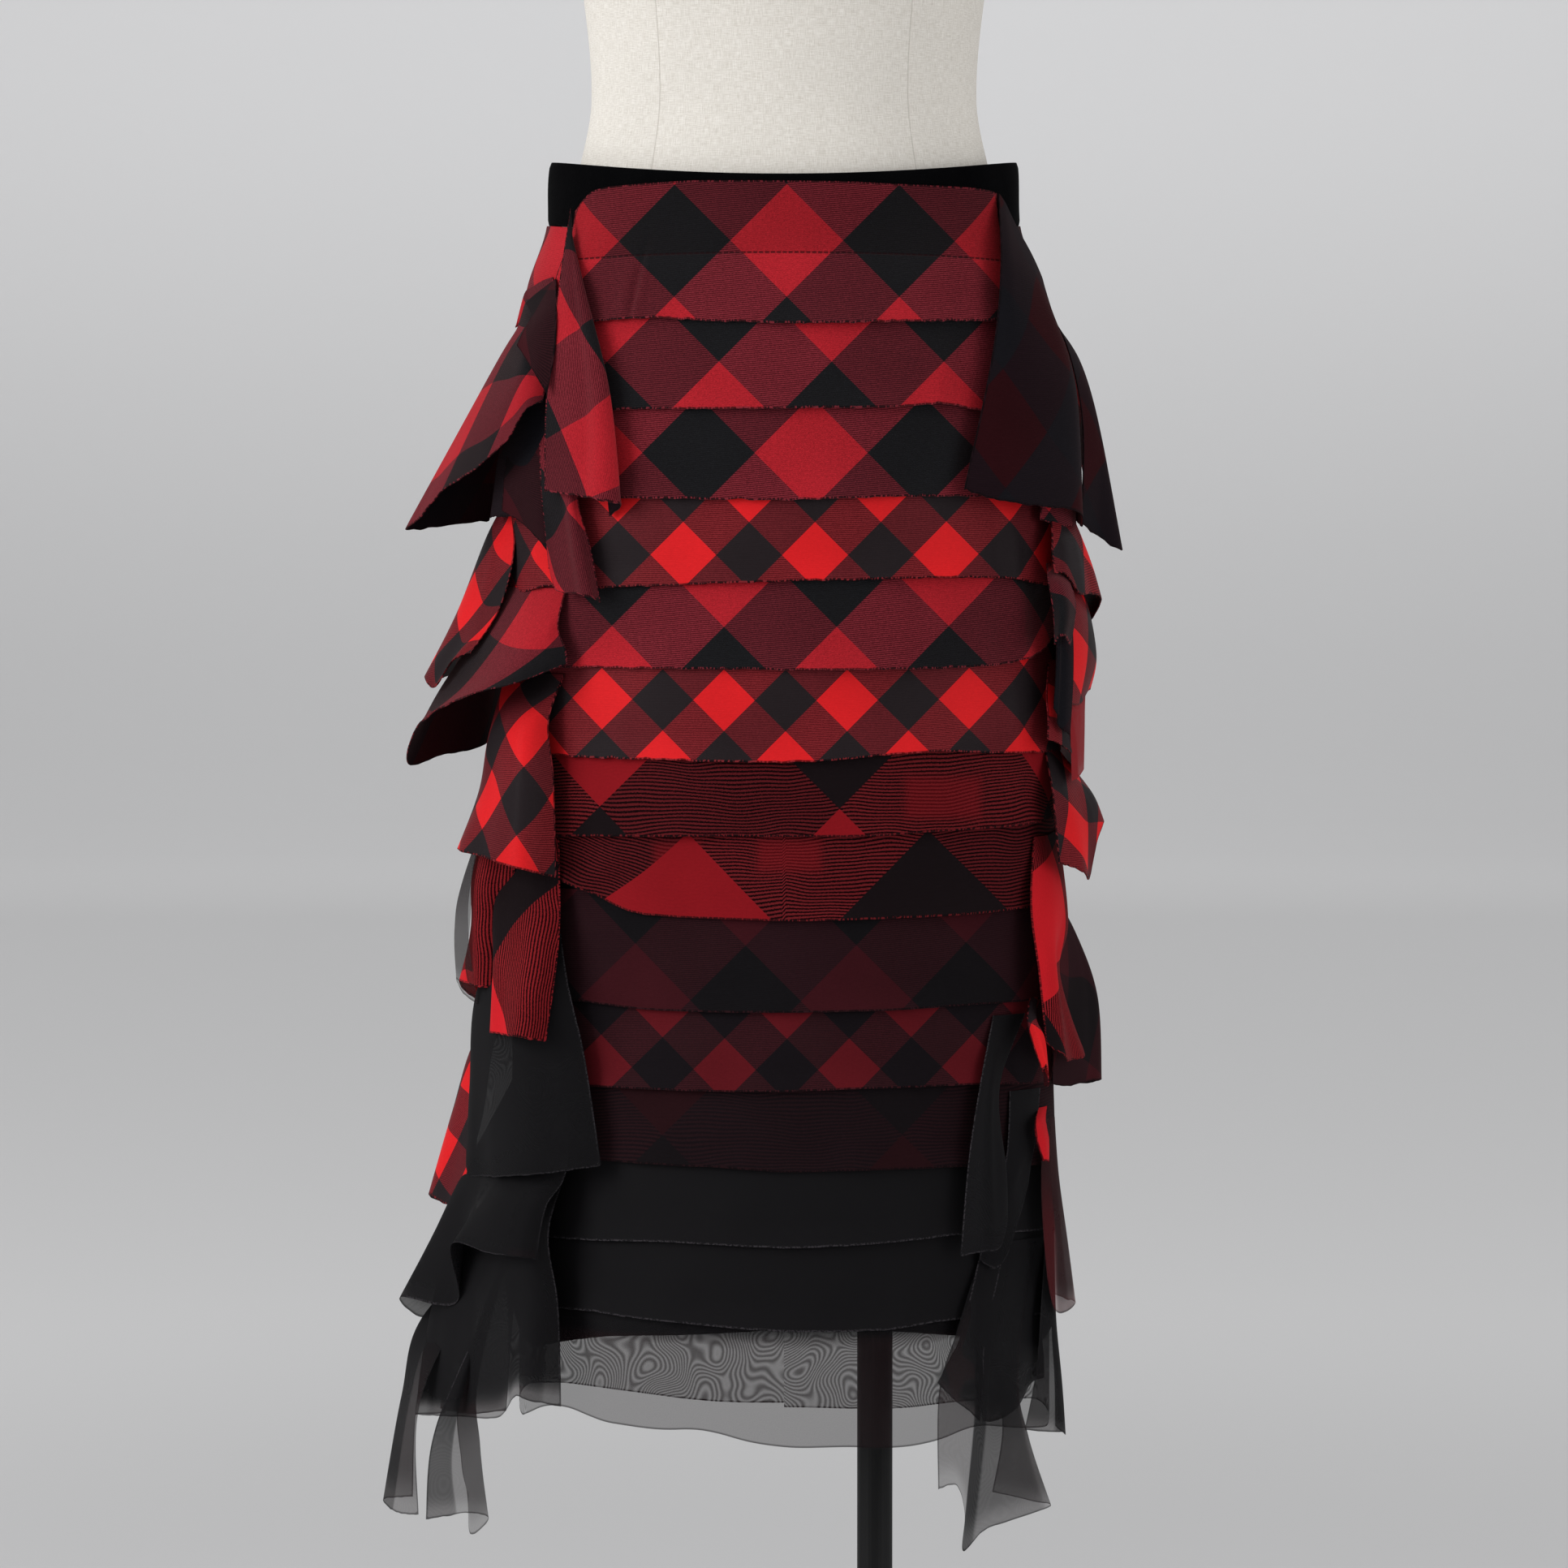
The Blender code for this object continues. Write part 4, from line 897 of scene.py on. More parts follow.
looseEnds = {
    "left_end_01": {"cloth": "large", "lay": ("red", 733, 552, 70),
        "folds": ((0.35, 0.12, 2.0), (0.6, 0.1, -2.0)), "lines": (
        (60, 948, 3.4, 716, 360, 72, 737, 488, 90, 752, 636, 96),
        (59, 950, 4.0, 721, 356, 80, 751, 483, 101, 765, 623, 109),
        (59.5, 953, 4.0, 714, 354, 82, 736, 487, 104, 741, 617, 114),
        (60, 957, 3.8, 706, 353, 80, 718, 490, 99, 717, 612, 108),
        (61, 961, 3.4, 697, 352, 76, 695, 492, 90, 693, 608, 97),
        (62, 965, 3.0, 689, 352, 72, 673, 494, 81, 671, 605, 87))},
    "left_end_02": {"cloth": "large", "lay": ("black", 640, 425, 45, 6, 0),
        "folds": ((0.25, 0.1, 2.0),), "lines": (
        (62, 925, 3.0, 686, 400, 66, 676, 460, 72, 669, 495, 75),
        (65, 924, 3.0, 678, 400, 64, 662, 455, 71, 648, 505, 76),
        (69, 922, 2.8, 670, 398, 58, 648, 450, 66, 630, 540, 72),
        (74, 919, 2.4, 662, 395, 46, 634, 450, 54, 590, 575, 58),
        (80, 916, 2.0, 654, 392, 30, 620, 450, 34, 548, 602, 34),
        (85, 900, 1.6, 640, 402, 15, 608, 456, 15, 514, 640, 12),
        (90, 896, 1.4, 637, 408, 0, 606, 462, -5, 501, 652, -8),
        (96, 903, 1.2, 650, 404, -20, 620, 470, -26, 547, 648, -26),
        (103, 910, 1.2, 664, 405, -44, 645, 480, -52, 602, 641, -56))},
    # inside the flap the large check lies in shade: it is given the darker veiled colours, a painted shade
    "left_end_02_inside": {"cloth": "veiled", "slot": "large_check",
        "lay": ("red", 670, 400, 0, 32, 32), "lines": (
        (60, 924, 3.6, 686, 380, 76, 684, 430, 82, 674, 486, 87),
        (65, 919, 3.4, 673, 385, 71, 666, 425, 77, 660, 462, 82),
        (71, 914, 3.0, 662, 390, 63, 653, 418, 67, 648, 442, 70),
        (76, 910, 2.8, 655, 388, 51, 645, 408, 54, 637, 425, 57))},
    "left_end_02_under": {"cloth": "reverse", "lay": ("black", 640, 560, 0), "lines": (
        (62, 882, 2.6, 672, 470, 64, 672, 560, 66, 668, 640, 67),
        (68, 882, 2.6, 655, 470, 58, 650, 560, 59, 645, 640, 60),
        (75, 882, 2.6, 640, 480, 46, 632, 560, 46, 622, 636, 46),
        (83, 882, 2.6, 633, 490, 28, 616, 550, 26, 604, 638, 24))},
    "left_end_03": {"cloth": "large", "lay": ("black", 667, 622, 90, 14, 0),
        "folds": ((0.3, 0.12, 2.5),), "lines": (
        (46, 844, 3.0, 712, 610, 92, 728, 675, 97, 740, 742, 99),
        (50, 844, 3.0, 702, 605, 92, 713, 670, 99, 726, 735, 104),
        (54, 844, 3.0, 690, 600, 84, 698, 668, 91, 706, 731, 96),
        (58, 844, 3.0, 674, 598, 76, 682, 665, 82, 686, 728, 86),
        (61, 844, 3.0, 666, 596, 72, 671, 650, 77, 676, 700, 80))},
    # inside the flap the large check lies in shade: it is given the darker veiled colours, a painted shade
    "left_end_03_inside": {"cloth": "veiled", "slot": "large_check",
        "lay": ("red", 645, 610, 0, 32, 32), "lines": (
        (58, 846, 3.0, 674, 596, 74, 678, 645, 77, 682, 690, 79),
        (63, 846, 3.0, 660, 592, 68, 662, 632, 72, 666, 668, 74),
        (69, 846, 2.8, 640, 585, 56, 640, 612, 58, 642, 644, 60),
        (75, 846, 1.4, 622, 580, 42, 620, 605, 44, 618, 630, 46))},
    "left_end_04": {"cloth": "small", "lay": ("red", 573, 737, 14, 1, 0),
        "folds": ((0.5, 0.2, 1.5),), "lines": (
        (80, 796, 1.2, 634, 674, 38, 616, 748, 42, 580, 804, 44),
        (85, 795, 1.2, 616, 672, 30, 592, 765, 36, 556, 815, 38),
        (88, 794, 1.2, 608, 668, 22, 580, 765, 26, 536, 848, 28),
        (92, 793, 1.2, 601, 660, 6, 565, 755, 6, 525, 834, 4),
        (99, 791, 1.2, 604, 664, -18, 572, 755, -26, 540, 836, -32),
        (108, 788, 1.2, 614, 668, -44, 590, 755, -58, 568, 825, -70))},
    "left_end_05": {"cloth": "large", "lay": ("red", 674, 790, 24, 15.6, -35, 1.2),
        "folds": ((0.3, 0.12, 2.0), (0.5, 0.1, -1.5)), "lines": (
        (50, 744, 3.0, 688, 770, 82, 697, 800, 88, 699, 817, 90),
        (57, 744, 3.1, 672, 776, 84, 668, 812, 92, 661, 832, 95),
        (65, 744, 3.3, 650, 782, 80, 638, 822, 90, 624, 846, 94),
        (72, 744, 2.6, 625, 788, 66, 604, 834, 76, 578, 859, 80),
        (78, 744, 1.9, 600, 792, 46, 570, 845, 52, 533, 876, 54),
        (83, 744, 1.6, 584, 790, 28, 545, 850, 28, 509, 897, 28),
        (88, 743, 1.3, 580, 792, 10, 536, 862, 6, 502, 941, 2),
        (95, 742, 1.2, 590, 800, -14, 565, 865, -20, 546, 930, -24),
        (103, 741, 1.2, 606, 800, -38, 600, 865, -46, 593, 919, -52),
        (112, 740, 1.2, 622, 800, -60, 619, 855, -68, 614, 905, -74))},
    "left_end_06": {"cloth": "small", "lay": ("red", 652, 898, 1, 0, 0, 1.02),
        "folds": ((0.25, 0.08, 2.5), (0.5, 0.1, -2.0)), "lines": (
        (51, 694, 3.0, 676, 890, 80, 682, 960, 84, 685, 1082, 88),
        (57, 694, 3.1, 655, 892, 84, 656, 965, 92, 656, 1075, 98),
        (64, 694, 3.2, 634, 893, 78, 630, 965, 88, 622, 1066, 94),
        (72, 694, 2.6, 614, 893, 62, 606, 962, 70, 590, 1055, 76),
        (80, 695, 1.2, 602, 905, 42, 590, 975, 44, 563, 1047, 48),
        (89, 695, 1.2, 606, 905, 12, 594, 970, 8, 574, 1040, 4),
        (99, 695, 1.2, 620, 900, -20, 612, 965, -30, 598, 1036, -38))},
    "left_end_07": {"cloth": "sheerLoose", "lay": ("red", 565, 1206, 88, 38, 28),
        "folds": ((0.4, 0.12, 3.0), (0.7, 0.08, -2.0)), "lines": (
        (67, 650, 2.6, 634, 1060, 54, 635, 1130, 50, 638, 1205, 48),
        (72, 650, 1.2, 616, 1060, 50, 617, 1130, 48, 621, 1212, 47),
        (77, 650, 1.2, 600, 1062, 46, 600, 1135, 45, 602, 1216, 45),
        (84, 649, 1.2, 588, 1062, 34, 584, 1138, 36, 584, 1214, 36),
        (91, 648, 1.2, 582, 1064, 12, 578, 1140, 8, 561, 1208, 4),
        (99, 646, 1.2, 590, 1062, -14, 584, 1135, -20, 572, 1222, -26),
        (108, 643, 1.2, 604, 1060, -34, 600, 1125, -42, 592, 1234, -50))},
    "left_end_07_veil": {"cloth": "chiffon", "lay": ("red", 580, 1150, 0), "pleats": ((0, 1, 1),), "lines": (
        (86, 649, 1.2, 584, 1066, 38, 576, 1145, 38, 588, 1238, 38),
        (92, 648, 1.2, 574, 1074, 14, 563, 1145, 10, 570, 1224, 6),
        (99, 646, 1.2, 572, 1080, -12, 560, 1145, -18, 561, 1206, -24),
        (106, 644, 1.2, 588, 1072, -40, 578, 1140, -50, 572, 1218, -58))},
    "left_end_08": {"cloth": "sheerLoose", "lay": ("red", 650, 1190, 88, 54, 70),
        "folds": ((0.3, 0.1, 3.0), (0.6, 0.12, -2.5)), "lines": (
        (54, 598, 3.0, 690, 1125, 84, 685, 1191, 94, 672, 1283, 104),
        (60, 598, 3.1, 668, 1125, 86, 664, 1195, 100, 652, 1281, 112),
        (67, 598, 3.3, 645, 1125, 80, 640, 1195, 94, 630, 1277, 106),
        (74, 599, 1.6, 622, 1120, 66, 618, 1195, 80, 612, 1274, 92),
        (80, 600, 1.2, 608, 1115, 50, 606, 1190, 62, 602, 1272, 74),
        (85, 600, 1.2, 616, 1110, 36, 616, 1185, 46, 612, 1266, 56))},
    "left_end_09": {"cloth": "chiffon", "pleats": ((0, 1, 5),), "lay": ("red", 640, 1300, 0),
        "folds": ((0.35, 0.12, 3.0), (0.7, 0.1, 2)), "lines": (
        (54, 549, 3.0, 700, 1215, 88, 720, 1303, 96, 740, 1436, 102),
        (60, 549, 3.1, 674, 1220, 88, 684, 1310, 97, 697, 1443, 104),
        (67, 549, 3.3, 640, 1225, 78, 642, 1320, 90, 648, 1448, 97),
        (74, 550, 1.8, 612, 1225, 60, 606, 1325, 70, 610, 1450, 76),
        (80, 551, 1.2, 594, 1222, 38, 589, 1330, 46, 594, 1449, 50),
        (88, 552, 1.2, 586, 1226, 16, 578, 1338, 22, 572, 1452, 24),
        (97, 552, 1.2, 606, 1230, -12, 592, 1340, -16, 583, 1450, -20))},
    "left_end_10": {"cloth": "small", "lay": ("red", 575, 1320, 25), "folds": ((0.5, 0.2, 2.0),), "lines": (
        (84, 512, 1.2, 606, 1288, 28, 592, 1375, 30, 566, 1474, 34),
        (89, 511, 1.2, 594, 1286, 14, 575, 1370, 14, 549, 1484, 14),
        (94, 510, 1.2, 584, 1284, -2, 560, 1370, -4, 531, 1472, -6),
        (100, 508, 1.2, 588, 1286, -24, 562, 1372, -30, 535, 1478, -36),
        (108, 505, 1.2, 604, 1292, -50, 590, 1375, -64, 566, 1484, -78))},
    "left_end_11": {"cloth": "chiffon", "pleats": ((0, 1, 3.4), (0.2, 0.7, 2)), "lay": ("red", 600, 1500, 0),
        "folds": ((0.3, 0.08, 2.5), (0.5, 0.1, -2)), "lines": (
        (51, 450, 3.0, 697, 1443, 90, 672, 1488, 96, 660, 1552, 99),
        (58, 450, 3.1, 672, 1440, 90, 647, 1490, 97, 635, 1549, 101),
        (66, 450, 3.4, 640, 1440, 80, 612, 1490, 87, 600, 1544, 90),
        (74, 451, 1.8, 608, 1440, 60, 580, 1490, 64, 552, 1534, 66),
        (80, 452, 1.2, 586, 1440, 42, 566, 1505, 44, 558, 1606, 44),
        (86, 452, 1.2, 566, 1450, 22, 532, 1520, 18, 491, 1598, 14),
        (94, 451, 1.2, 574, 1455, -4, 550, 1530, -12, 517, 1623, -18),
        (102, 450, 1.2, 592, 1450, -32, 580, 1530, -42, 560, 1606, -50))},
    "left_end_12": {"cloth": "chiffon", "tip": 0.75, "pleats": ((0, 1, 4), (0.1, 0.35, 2), (0.55, 0.75, 2)),
        "lay": ("red", 600, 1640, 0), "folds": ((0.2, 0.08, 3.0), (0.6, 0.1, 3)), "lines": (
        (52, 404, 3.0, 675, 1520, 88, 687, 1610, 92, 690, 1733, 95),
        (58, 404, 3.1, 655, 1525, 90, 662, 1612, 94, 656, 1727, 97),
        (64, 404, 3.2, 632, 1530, 82, 636, 1615, 86, 634, 1721, 89),
        (70, 404, 3.0, 612, 1535, 70, 612, 1630, 74, 613, 1746, 77),
        (79, 405, 1.2, 586, 1540, 50, 580, 1640, 52, 575, 1746, 54),
        (86, 405, 1.2, 562, 1545, 28, 542, 1640, 27, 535, 1744, 26),
        (93, 404, 1.2, 552, 1545, 2, 524, 1640, -2, 509, 1743, -6),
        (101, 404, 1.2, 580, 1550, -28, 562, 1640, -38, 546, 1741, -46))},
    "left_end_12_behind": {"cloth": "chiffon", "pleats": ((0, 1, 2.2),),
        "lay": ("red", 600, 1640, 0), "lines": (
        (94, 404, 1.2, 640, 1500, -8, 632, 1600, -12, 622, 1738, -16),
        (100, 404, 1.2, 606, 1505, -28, 590, 1605, -36, 577, 1742, -42),
        (107, 404, 1.2, 580, 1530, -46, 558, 1630, -58, 540, 1736, -66))},
    "left_end_13": {"cloth": "chiffon", "pleats": ((0, 1, 1.2), (0, 0.28, 1.2)),
        "lay": ("red", 560, 1800, 0), "lines": (
        (72, 364, 1.2, 562, 1690, 56, 529, 1780, 52, 522, 1872, 50),
        (76, 364, 1.2, 572, 1690, 58, 546, 1785, 56, 548, 1868, 54),
        (80, 364, 1.2, 582, 1690, 54, 568, 1790, 52, 577, 1864, 50),
        (84, 364, 1.2, 588, 1695, 42, 589, 1780, 38, 600, 1871, 34),
        (88, 364, 1.2, 582, 1700, 28, 582, 1790, 24, 577, 1890, 20),
        (92, 363, 1.2, 566, 1700, 14, 566, 1800, 10, 575, 1842, 8))},
    "left_end_13_tail": {"cloth": "chiffon", "pleats": ((0, 1, 1.6), (0.35, 0.6, 1.5)),
        "lay": ("red", 500, 1750, 0), "lines": (
        (82, 363, 1.2, 548, 1650, 30, 512, 1745, 28, 513, 1866, 26),
        (85, 363, 1.2, 540, 1640, 20, 508, 1735, 18, 492, 1865, 16),
        (89, 362, 1.2, 530, 1635, 6, 500, 1725, 3, 478, 1859, 0),
        (94, 361, 1.2, 520, 1620, -10, 492, 1720, -14, 469, 1848, -18),
        (98, 360, 1.2, 530, 1625, -24, 500, 1725, -30, 482, 1845, -34),
        (102, 360, 1.2, 542, 1625, -36, 512, 1725, -42, 506, 1844, -46))},
    "right_end_01": {"cloth": "reverse", "lay": ("red", 1248, 530, 8),
        "folds": ((0.55, 0.2, 2.0),), "lines": (
        (63.5, 974, 2.4, 1233, 330, 77, 1222, 440, 90, 1188, 603, 107),
        (67, 969, 2.0, 1245, 335, 73, 1246, 450, 86, 1222, 614, 101),
        (71, 961, 1.8, 1258, 345, 64, 1272, 460, 75, 1258, 621, 90),
        (76, 951, 1.5, 1272, 355, 52, 1298, 470, 58, 1294, 626, 74),
        (82, 939, 1.3, 1286, 365, 38, 1319, 470, 40, 1328, 631, 54),
        (88, 926, 1.2, 1294, 378, 22, 1325, 480, 22, 1333, 650, 34),
        (92, 919, 1.2, 1292, 390, 8, 1320, 490, 4, 1326, 640, 12))},
    "right_end_02": {"cloth": "reverse", "lay": ("red", 1336, 540, 0), "lines": (
        (92, 906, 1.0, 1316, 430, 12, 1334, 520, 10, 1333, 645, 10),
        (96, 905, 1.0, 1326, 440, -2, 1351, 530, -6, 1353, 661, -8),
        (100, 905, 1.0, 1330, 445, -16, 1358, 545, -20, 1383, 678, -24),
        (105, 903, 1.0, 1322, 450, -36, 1345, 545, -44, 1366, 650, -52),
        (111, 900, 1.0, 1310, 455, -58, 1328, 545, -70, 1345, 635, -80))},
    "right_end_03": {"cloth": "large", "lay": ("red", 1290, 560, 10), "folds": ((0.5, 0.2, 2.0),), "lines": (
        (70, 850, 1.2, 1284, 560, 60, 1284, 600, 61, 1282, 640, 62),
        (77, 850, 1.2, 1304, 560, 46, 1306, 600, 48, 1306, 648, 50),
        (87, 848, 1.2, 1316, 562, 22, 1322, 600, 24, 1324, 646, 24),
        (98, 846, 1.2, 1312, 562, -12, 1318, 600, -14, 1322, 640, -18))},
    "right_end_04": {"cloth": "small", "lay": ("black", 1330, 680, 10, 0, 0, 1.35),
        "folds": ((0.5, 0.1, -2.5),), "lines": (
        (70, 800, 1.8, 1296, 655, 62, 1296, 682, 66, 1300, 706, 70),
        (75, 800, 1.2, 1308, 656, 56, 1312, 684, 62, 1314, 708, 66),
        (80, 800, 1.2, 1320, 658, 42, 1327, 692, 48, 1332, 732, 52),
        (85, 799, 1.2, 1329, 660, 28, 1341, 697, 31, 1349, 730, 33),
        (90, 798, 1.2, 1333, 662, 12, 1348, 702, 13, 1358, 738, 13),
        (97, 797, 1.2, 1328, 665, -12, 1340, 710, -14, 1344, 764, -16),
        (105, 795, 1.2, 1316, 670, -42, 1324, 710, -47, 1326, 752, -52))},
    "right_end_05": {"cloth": "small", "slot": "large_check", "lay": ("red", 1338, 812, 20),
        "folds": ((0.6, 0.1, 2.5),), "lines": (
        (76, 756, 2.5, 1312, 735, 54, 1318, 810, 54, 1320, 868, 55),
        (83, 756, 2.0, 1328, 730, 34, 1337, 810, 34, 1331, 868, 36),
        (91, 756, 2.0, 1336, 735, 8, 1348, 805, 8, 1340, 850, 8),
        (99, 755, 2.0, 1330, 738, -18, 1340, 805, -20, 1334, 845, -22),
        (106, 752, 2.0, 1320, 745, -42, 1326, 805, -46, 1324, 840, -50))},
    "right_end_05_inside": {"cloth": "reverse", "lay": ("black", 1305, 840, 0),
        "folds": ((0.5, 0.2, -3.0),), "lines": (
        (71, 752, 2.5, 1300, 758, 66, 1301, 815, 68, 1298, 872, 68),
        (75, 752, 2.5, 1307, 756, 66, 1308, 820, 68, 1306, 886, 68),
        (79, 752, 2.5, 1314, 758, 60, 1316, 825, 62, 1313, 900, 63),
        (83, 752, 2.5, 1321, 764, 50, 1323, 830, 52, 1319, 905, 54))},
    "right_end_05_fold": {"cloth": "large", "lay": ("black", 1306, 790, 20, 0, 0),
        "folds": ((0.5, 0.25, 1.5),), "lines": (
        (68, 758, 3.0, 1291, 716, 72, 1297, 752, 78, 1299, 793, 80),
        (71, 758, 3.0, 1300, 714, 74, 1308, 748, 82, 1306, 784, 85),
        (74, 758, 3.0, 1310, 714, 68, 1318, 748, 75, 1313, 786, 78),
        (77, 758, 3.0, 1318, 716, 60, 1326, 748, 64, 1320, 796, 68))},
    "right_end_05_ribbon": {"cloth": "veiledRed", "slot": "large_check",
        "lay": ("red", 1327, 900, 0), "lines": (
        (83, 750, 1.2, 1320, 800, 42, 1319, 880, 44, 1321, 962, 46),
        (87, 750, 1.2, 1330, 800, 26, 1331, 880, 30, 1329, 958, 34),
        (91, 749, 1.2, 1336, 800, 4, 1337, 880, 8, 1336, 948, 12))},
    "right_end_06": {"cloth": "small", "lay": ("red", 1308, 930, 30),
        "folds": ((0.4, 0.15, 2.5),), "lines": (
        (71, 701, 1.4, 1290, 855, 61, 1292, 885, 63, 1291, 911, 65),
        (77, 701, 1.2, 1302, 858, 52, 1304, 886, 55, 1306, 917, 58),
        (84, 700, 1.2, 1312, 860, 32, 1318, 895, 35, 1320, 934, 37),
        (92, 698, 1.2, 1318, 865, 8, 1324, 905, 9, 1328, 952, 9),
        (100, 696, 1.2, 1314, 865, -18, 1319, 905, -20, 1320, 948, -22),
        (108, 694, 1.2, 1302, 865, -46, 1306, 900, -49, 1308, 935, -52))},
    "right_end_07": {"cloth": "small", "lay": ("red", 1340, 1026, 10),
        "folds": ((0.3, 0.12, 2.5),), "lines": (
        (70, 648, 1.8, 1298, 978, 60, 1302, 1022, 62, 1306, 1064, 64),
        (75, 648, 1.4, 1306, 975, 54, 1312, 1020, 56, 1320, 1068, 58),
        (79, 648, 1.2, 1314, 975, 46, 1324, 1025, 48, 1332, 1076, 50),
        (84, 647, 1.2, 1324, 970, 32, 1338, 1020, 33, 1342, 1082, 34),
        (88, 646, 1.2, 1332, 966, 18, 1347, 998, 19, 1353, 1036, 19),
        (93, 646, 1.2, 1338, 965, 2, 1351, 985, 2, 1361, 1011, 1),
        (99, 645, 1.2, 1330, 965, -20, 1340, 990, -23, 1346, 1020, -26),
        (107, 643, 1.2, 1316, 965, -46, 1324, 990, -50, 1330, 1016, -54))},
    "right_end_08": {"cloth": "sheerLoose", "lay": ("red", 1298, 1140, 75, 0, 0, 0.72),
        "folds": ((0.3, 0.1, 3.0), (0.6, 0.12, -2.0)), "lines": (
        (64, 598, 3.1, 1271, 1118, 70, 1281, 1200, 76, 1290, 1284, 82),
        (70, 598, 3.2, 1288, 1116, 64, 1292, 1195, 73, 1301, 1295, 78),
        (76, 599, 1.3, 1303, 1116, 52, 1301, 1190, 60, 1315, 1307, 63),
        (82, 600, 1.2, 1313, 1120, 36, 1305, 1190, 44, 1327, 1305, 46),
        (88, 600, 1.2, 1317, 1135, 18, 1307, 1200, 26, 1338, 1301, 26),
        (95, 600, 1.2, 1308, 1135, -8, 1300, 1210, -8, 1332, 1282, -12))},
    "right_end_08_curl": {"cloth": "small", "slot": "sheer_check", "lay": ("red", 1280, 1285, 0), "lines": (
        (63, 505, 3.1, 1266, 1255, 79, 1272, 1282, 84, 1286, 1322, 88),
        (65, 505, 3.1, 1272, 1253, 81, 1281, 1278, 87, 1291, 1312, 91),
        (67, 505, 3.1, 1278, 1255, 79, 1289, 1282, 85, 1294, 1336, 88),
        (68, 505, 2.6, 1275, 1257, 75, 1285, 1286, 80, 1289, 1338, 82))},
    "right_end_09": {"cloth": "veiled", "lay": ("black", 1340, 1250, 20),
        "folds": ((0.4, 0.15, 2.0),), "lines": (
        (84, 562, 1.0, 1302, 1170, 34, 1300, 1250, 34, 1298, 1336, 34),
        (91, 562, 1.0, 1313, 1158, 12, 1320, 1240, 12, 1318, 1338, 12),
        (97, 562, 1.0, 1320, 1148, -6, 1336, 1220, -8, 1338, 1332, -10),
        (102, 562, 1.0, 1326, 1150, -20, 1353, 1228, -24, 1358, 1330, -28),
        (107, 558, 1.0, 1318, 1162, -44, 1340, 1240, -52, 1344, 1334, -60),
        (112, 554, 1.0, 1312, 1175, -66, 1318, 1250, -76, 1320, 1335, -86))},
    "right_end_10": {"cloth": "chiffon", "pleats": ((0, 1, 5),), "lay": ("red", 1220, 1400, 0),
        "folds": ((0.35, 0.12, 2.5),), "lines": (
        (49, 495, 3.0, 1208, 1337, 94, 1194, 1430, 101, 1184, 1548, 107),
        (52, 495, 3.0, 1218, 1337, 96, 1211, 1432, 104, 1208, 1543, 110),
        (55, 495, 3.0, 1227, 1340, 91, 1227, 1436, 99, 1233, 1537, 104),
        (58, 495, 3.1, 1232, 1345, 84, 1241, 1441, 90, 1243, 1502, 93),
        (61, 495, 3.1, 1229, 1350, 78, 1237, 1445, 82, 1239, 1505, 84))},
    "right_end_11": {"cloth": "chiffon", "pleats": ((0, 1, 5),), "lay": ("red", 1250, 1450, 0),
        "folds": ((0.5, 0.2, 2.0),), "lines": (
        (55, 450, 3.0, 1240, 1430, 77, 1218, 1495, 87, 1207, 1553, 90),
        (59, 450, 3.1, 1252, 1425, 73, 1236, 1495, 85, 1233, 1560, 88),
        (64, 450, 3.2, 1265, 1415, 65, 1256, 1455, 72, 1256, 1500, 77),
        (69, 450, 3.2, 1277, 1405, 55, 1272, 1432, 60, 1268, 1461, 63))},
    "right_end_12": {"cloth": "chiffonRed", "pleats": ((0, 1, 1.6), (0.25, 0.45, 1.5), (0.7, 0.85, 1.5)),
        "lay": ("red", 1295, 1500, 0), "folds": ((0.4, 0.15, 3.0),), "lines": (
        (73, 430, 1.2, 1284, 1450, 58, 1287, 1520, 61, 1292, 1575, 63),
        (80, 430, 1.2, 1296, 1450, 44, 1301, 1525, 46, 1302, 1617, 48),
        (87, 429, 1.2, 1305, 1450, 22, 1313, 1525, 21, 1323, 1605, 20),
        (96, 428, 1.2, 1300, 1450, -8, 1308, 1530, -12, 1314, 1600, -18),
        (106, 427, 1.2, 1284, 1450, -44, 1288, 1530, -54, 1290, 1590, -62))},
    "right_end_12_red": {"cloth": "sheerLoose", "slot": "veiled_check",
        "lay": ("red", 1288, 1400, 0), "lines": (
        (68, 438, 3.1, 1277, 1382, 66, 1279, 1406, 67, 1287, 1430, 68),
        (71, 438, 2.8, 1284, 1380, 60, 1289, 1404, 62, 1293, 1430, 63),
        (75, 438, 2.5, 1290, 1380, 50, 1294, 1404, 52, 1294, 1432, 53))},
    "right_end_13_inside": {"cloth": "chiffon", "pleats": ((0, 1, 4),),
        "lay": ("red", 1240, 1680, 0), "lines": (
        (53, 362, 3.0, 1204, 1640, 96, 1205, 1688, 98, 1212, 1752, 99),
        (58, 362, 3.0, 1222, 1640, 90, 1224, 1690, 92, 1236, 1748, 93),
        (64, 362, 3.0, 1246, 1638, 76, 1250, 1690, 78, 1258, 1730, 78),
        (71, 362, 2.8, 1270, 1636, 60, 1272, 1680, 61, 1272, 1704, 61),
        (78, 362, 2.5, 1286, 1634, 44, 1288, 1672, 45, 1288, 1698, 45))},
    "right_end_13_over": {"cloth": "chiffon", "pleats": ((0, 1, 3),),
        "lay": ("red", 1190, 1690, 0), "lines": (
        (46, 362, 3.0, 1186, 1640, 103, 1172, 1672, 105, 1156, 1704, 107),
        (48.5, 362, 3.0, 1196, 1640, 107, 1186, 1682, 111, 1178, 1726, 113),
        (51, 362, 3.0, 1206, 1645, 107, 1202, 1695, 114, 1194, 1738, 117),
        (54, 362, 3.0, 1216, 1650, 104, 1214, 1700, 112, 1209, 1752, 116))},
    "right_end_13": {"cloth": "chiffon", "pleats": ((0, 1, 1.3), (0.27, 0.44, 2.5), (0.44, 0.72, 0.9)),
        "lay": ("red", 1220, 1750, 0), "lines": (
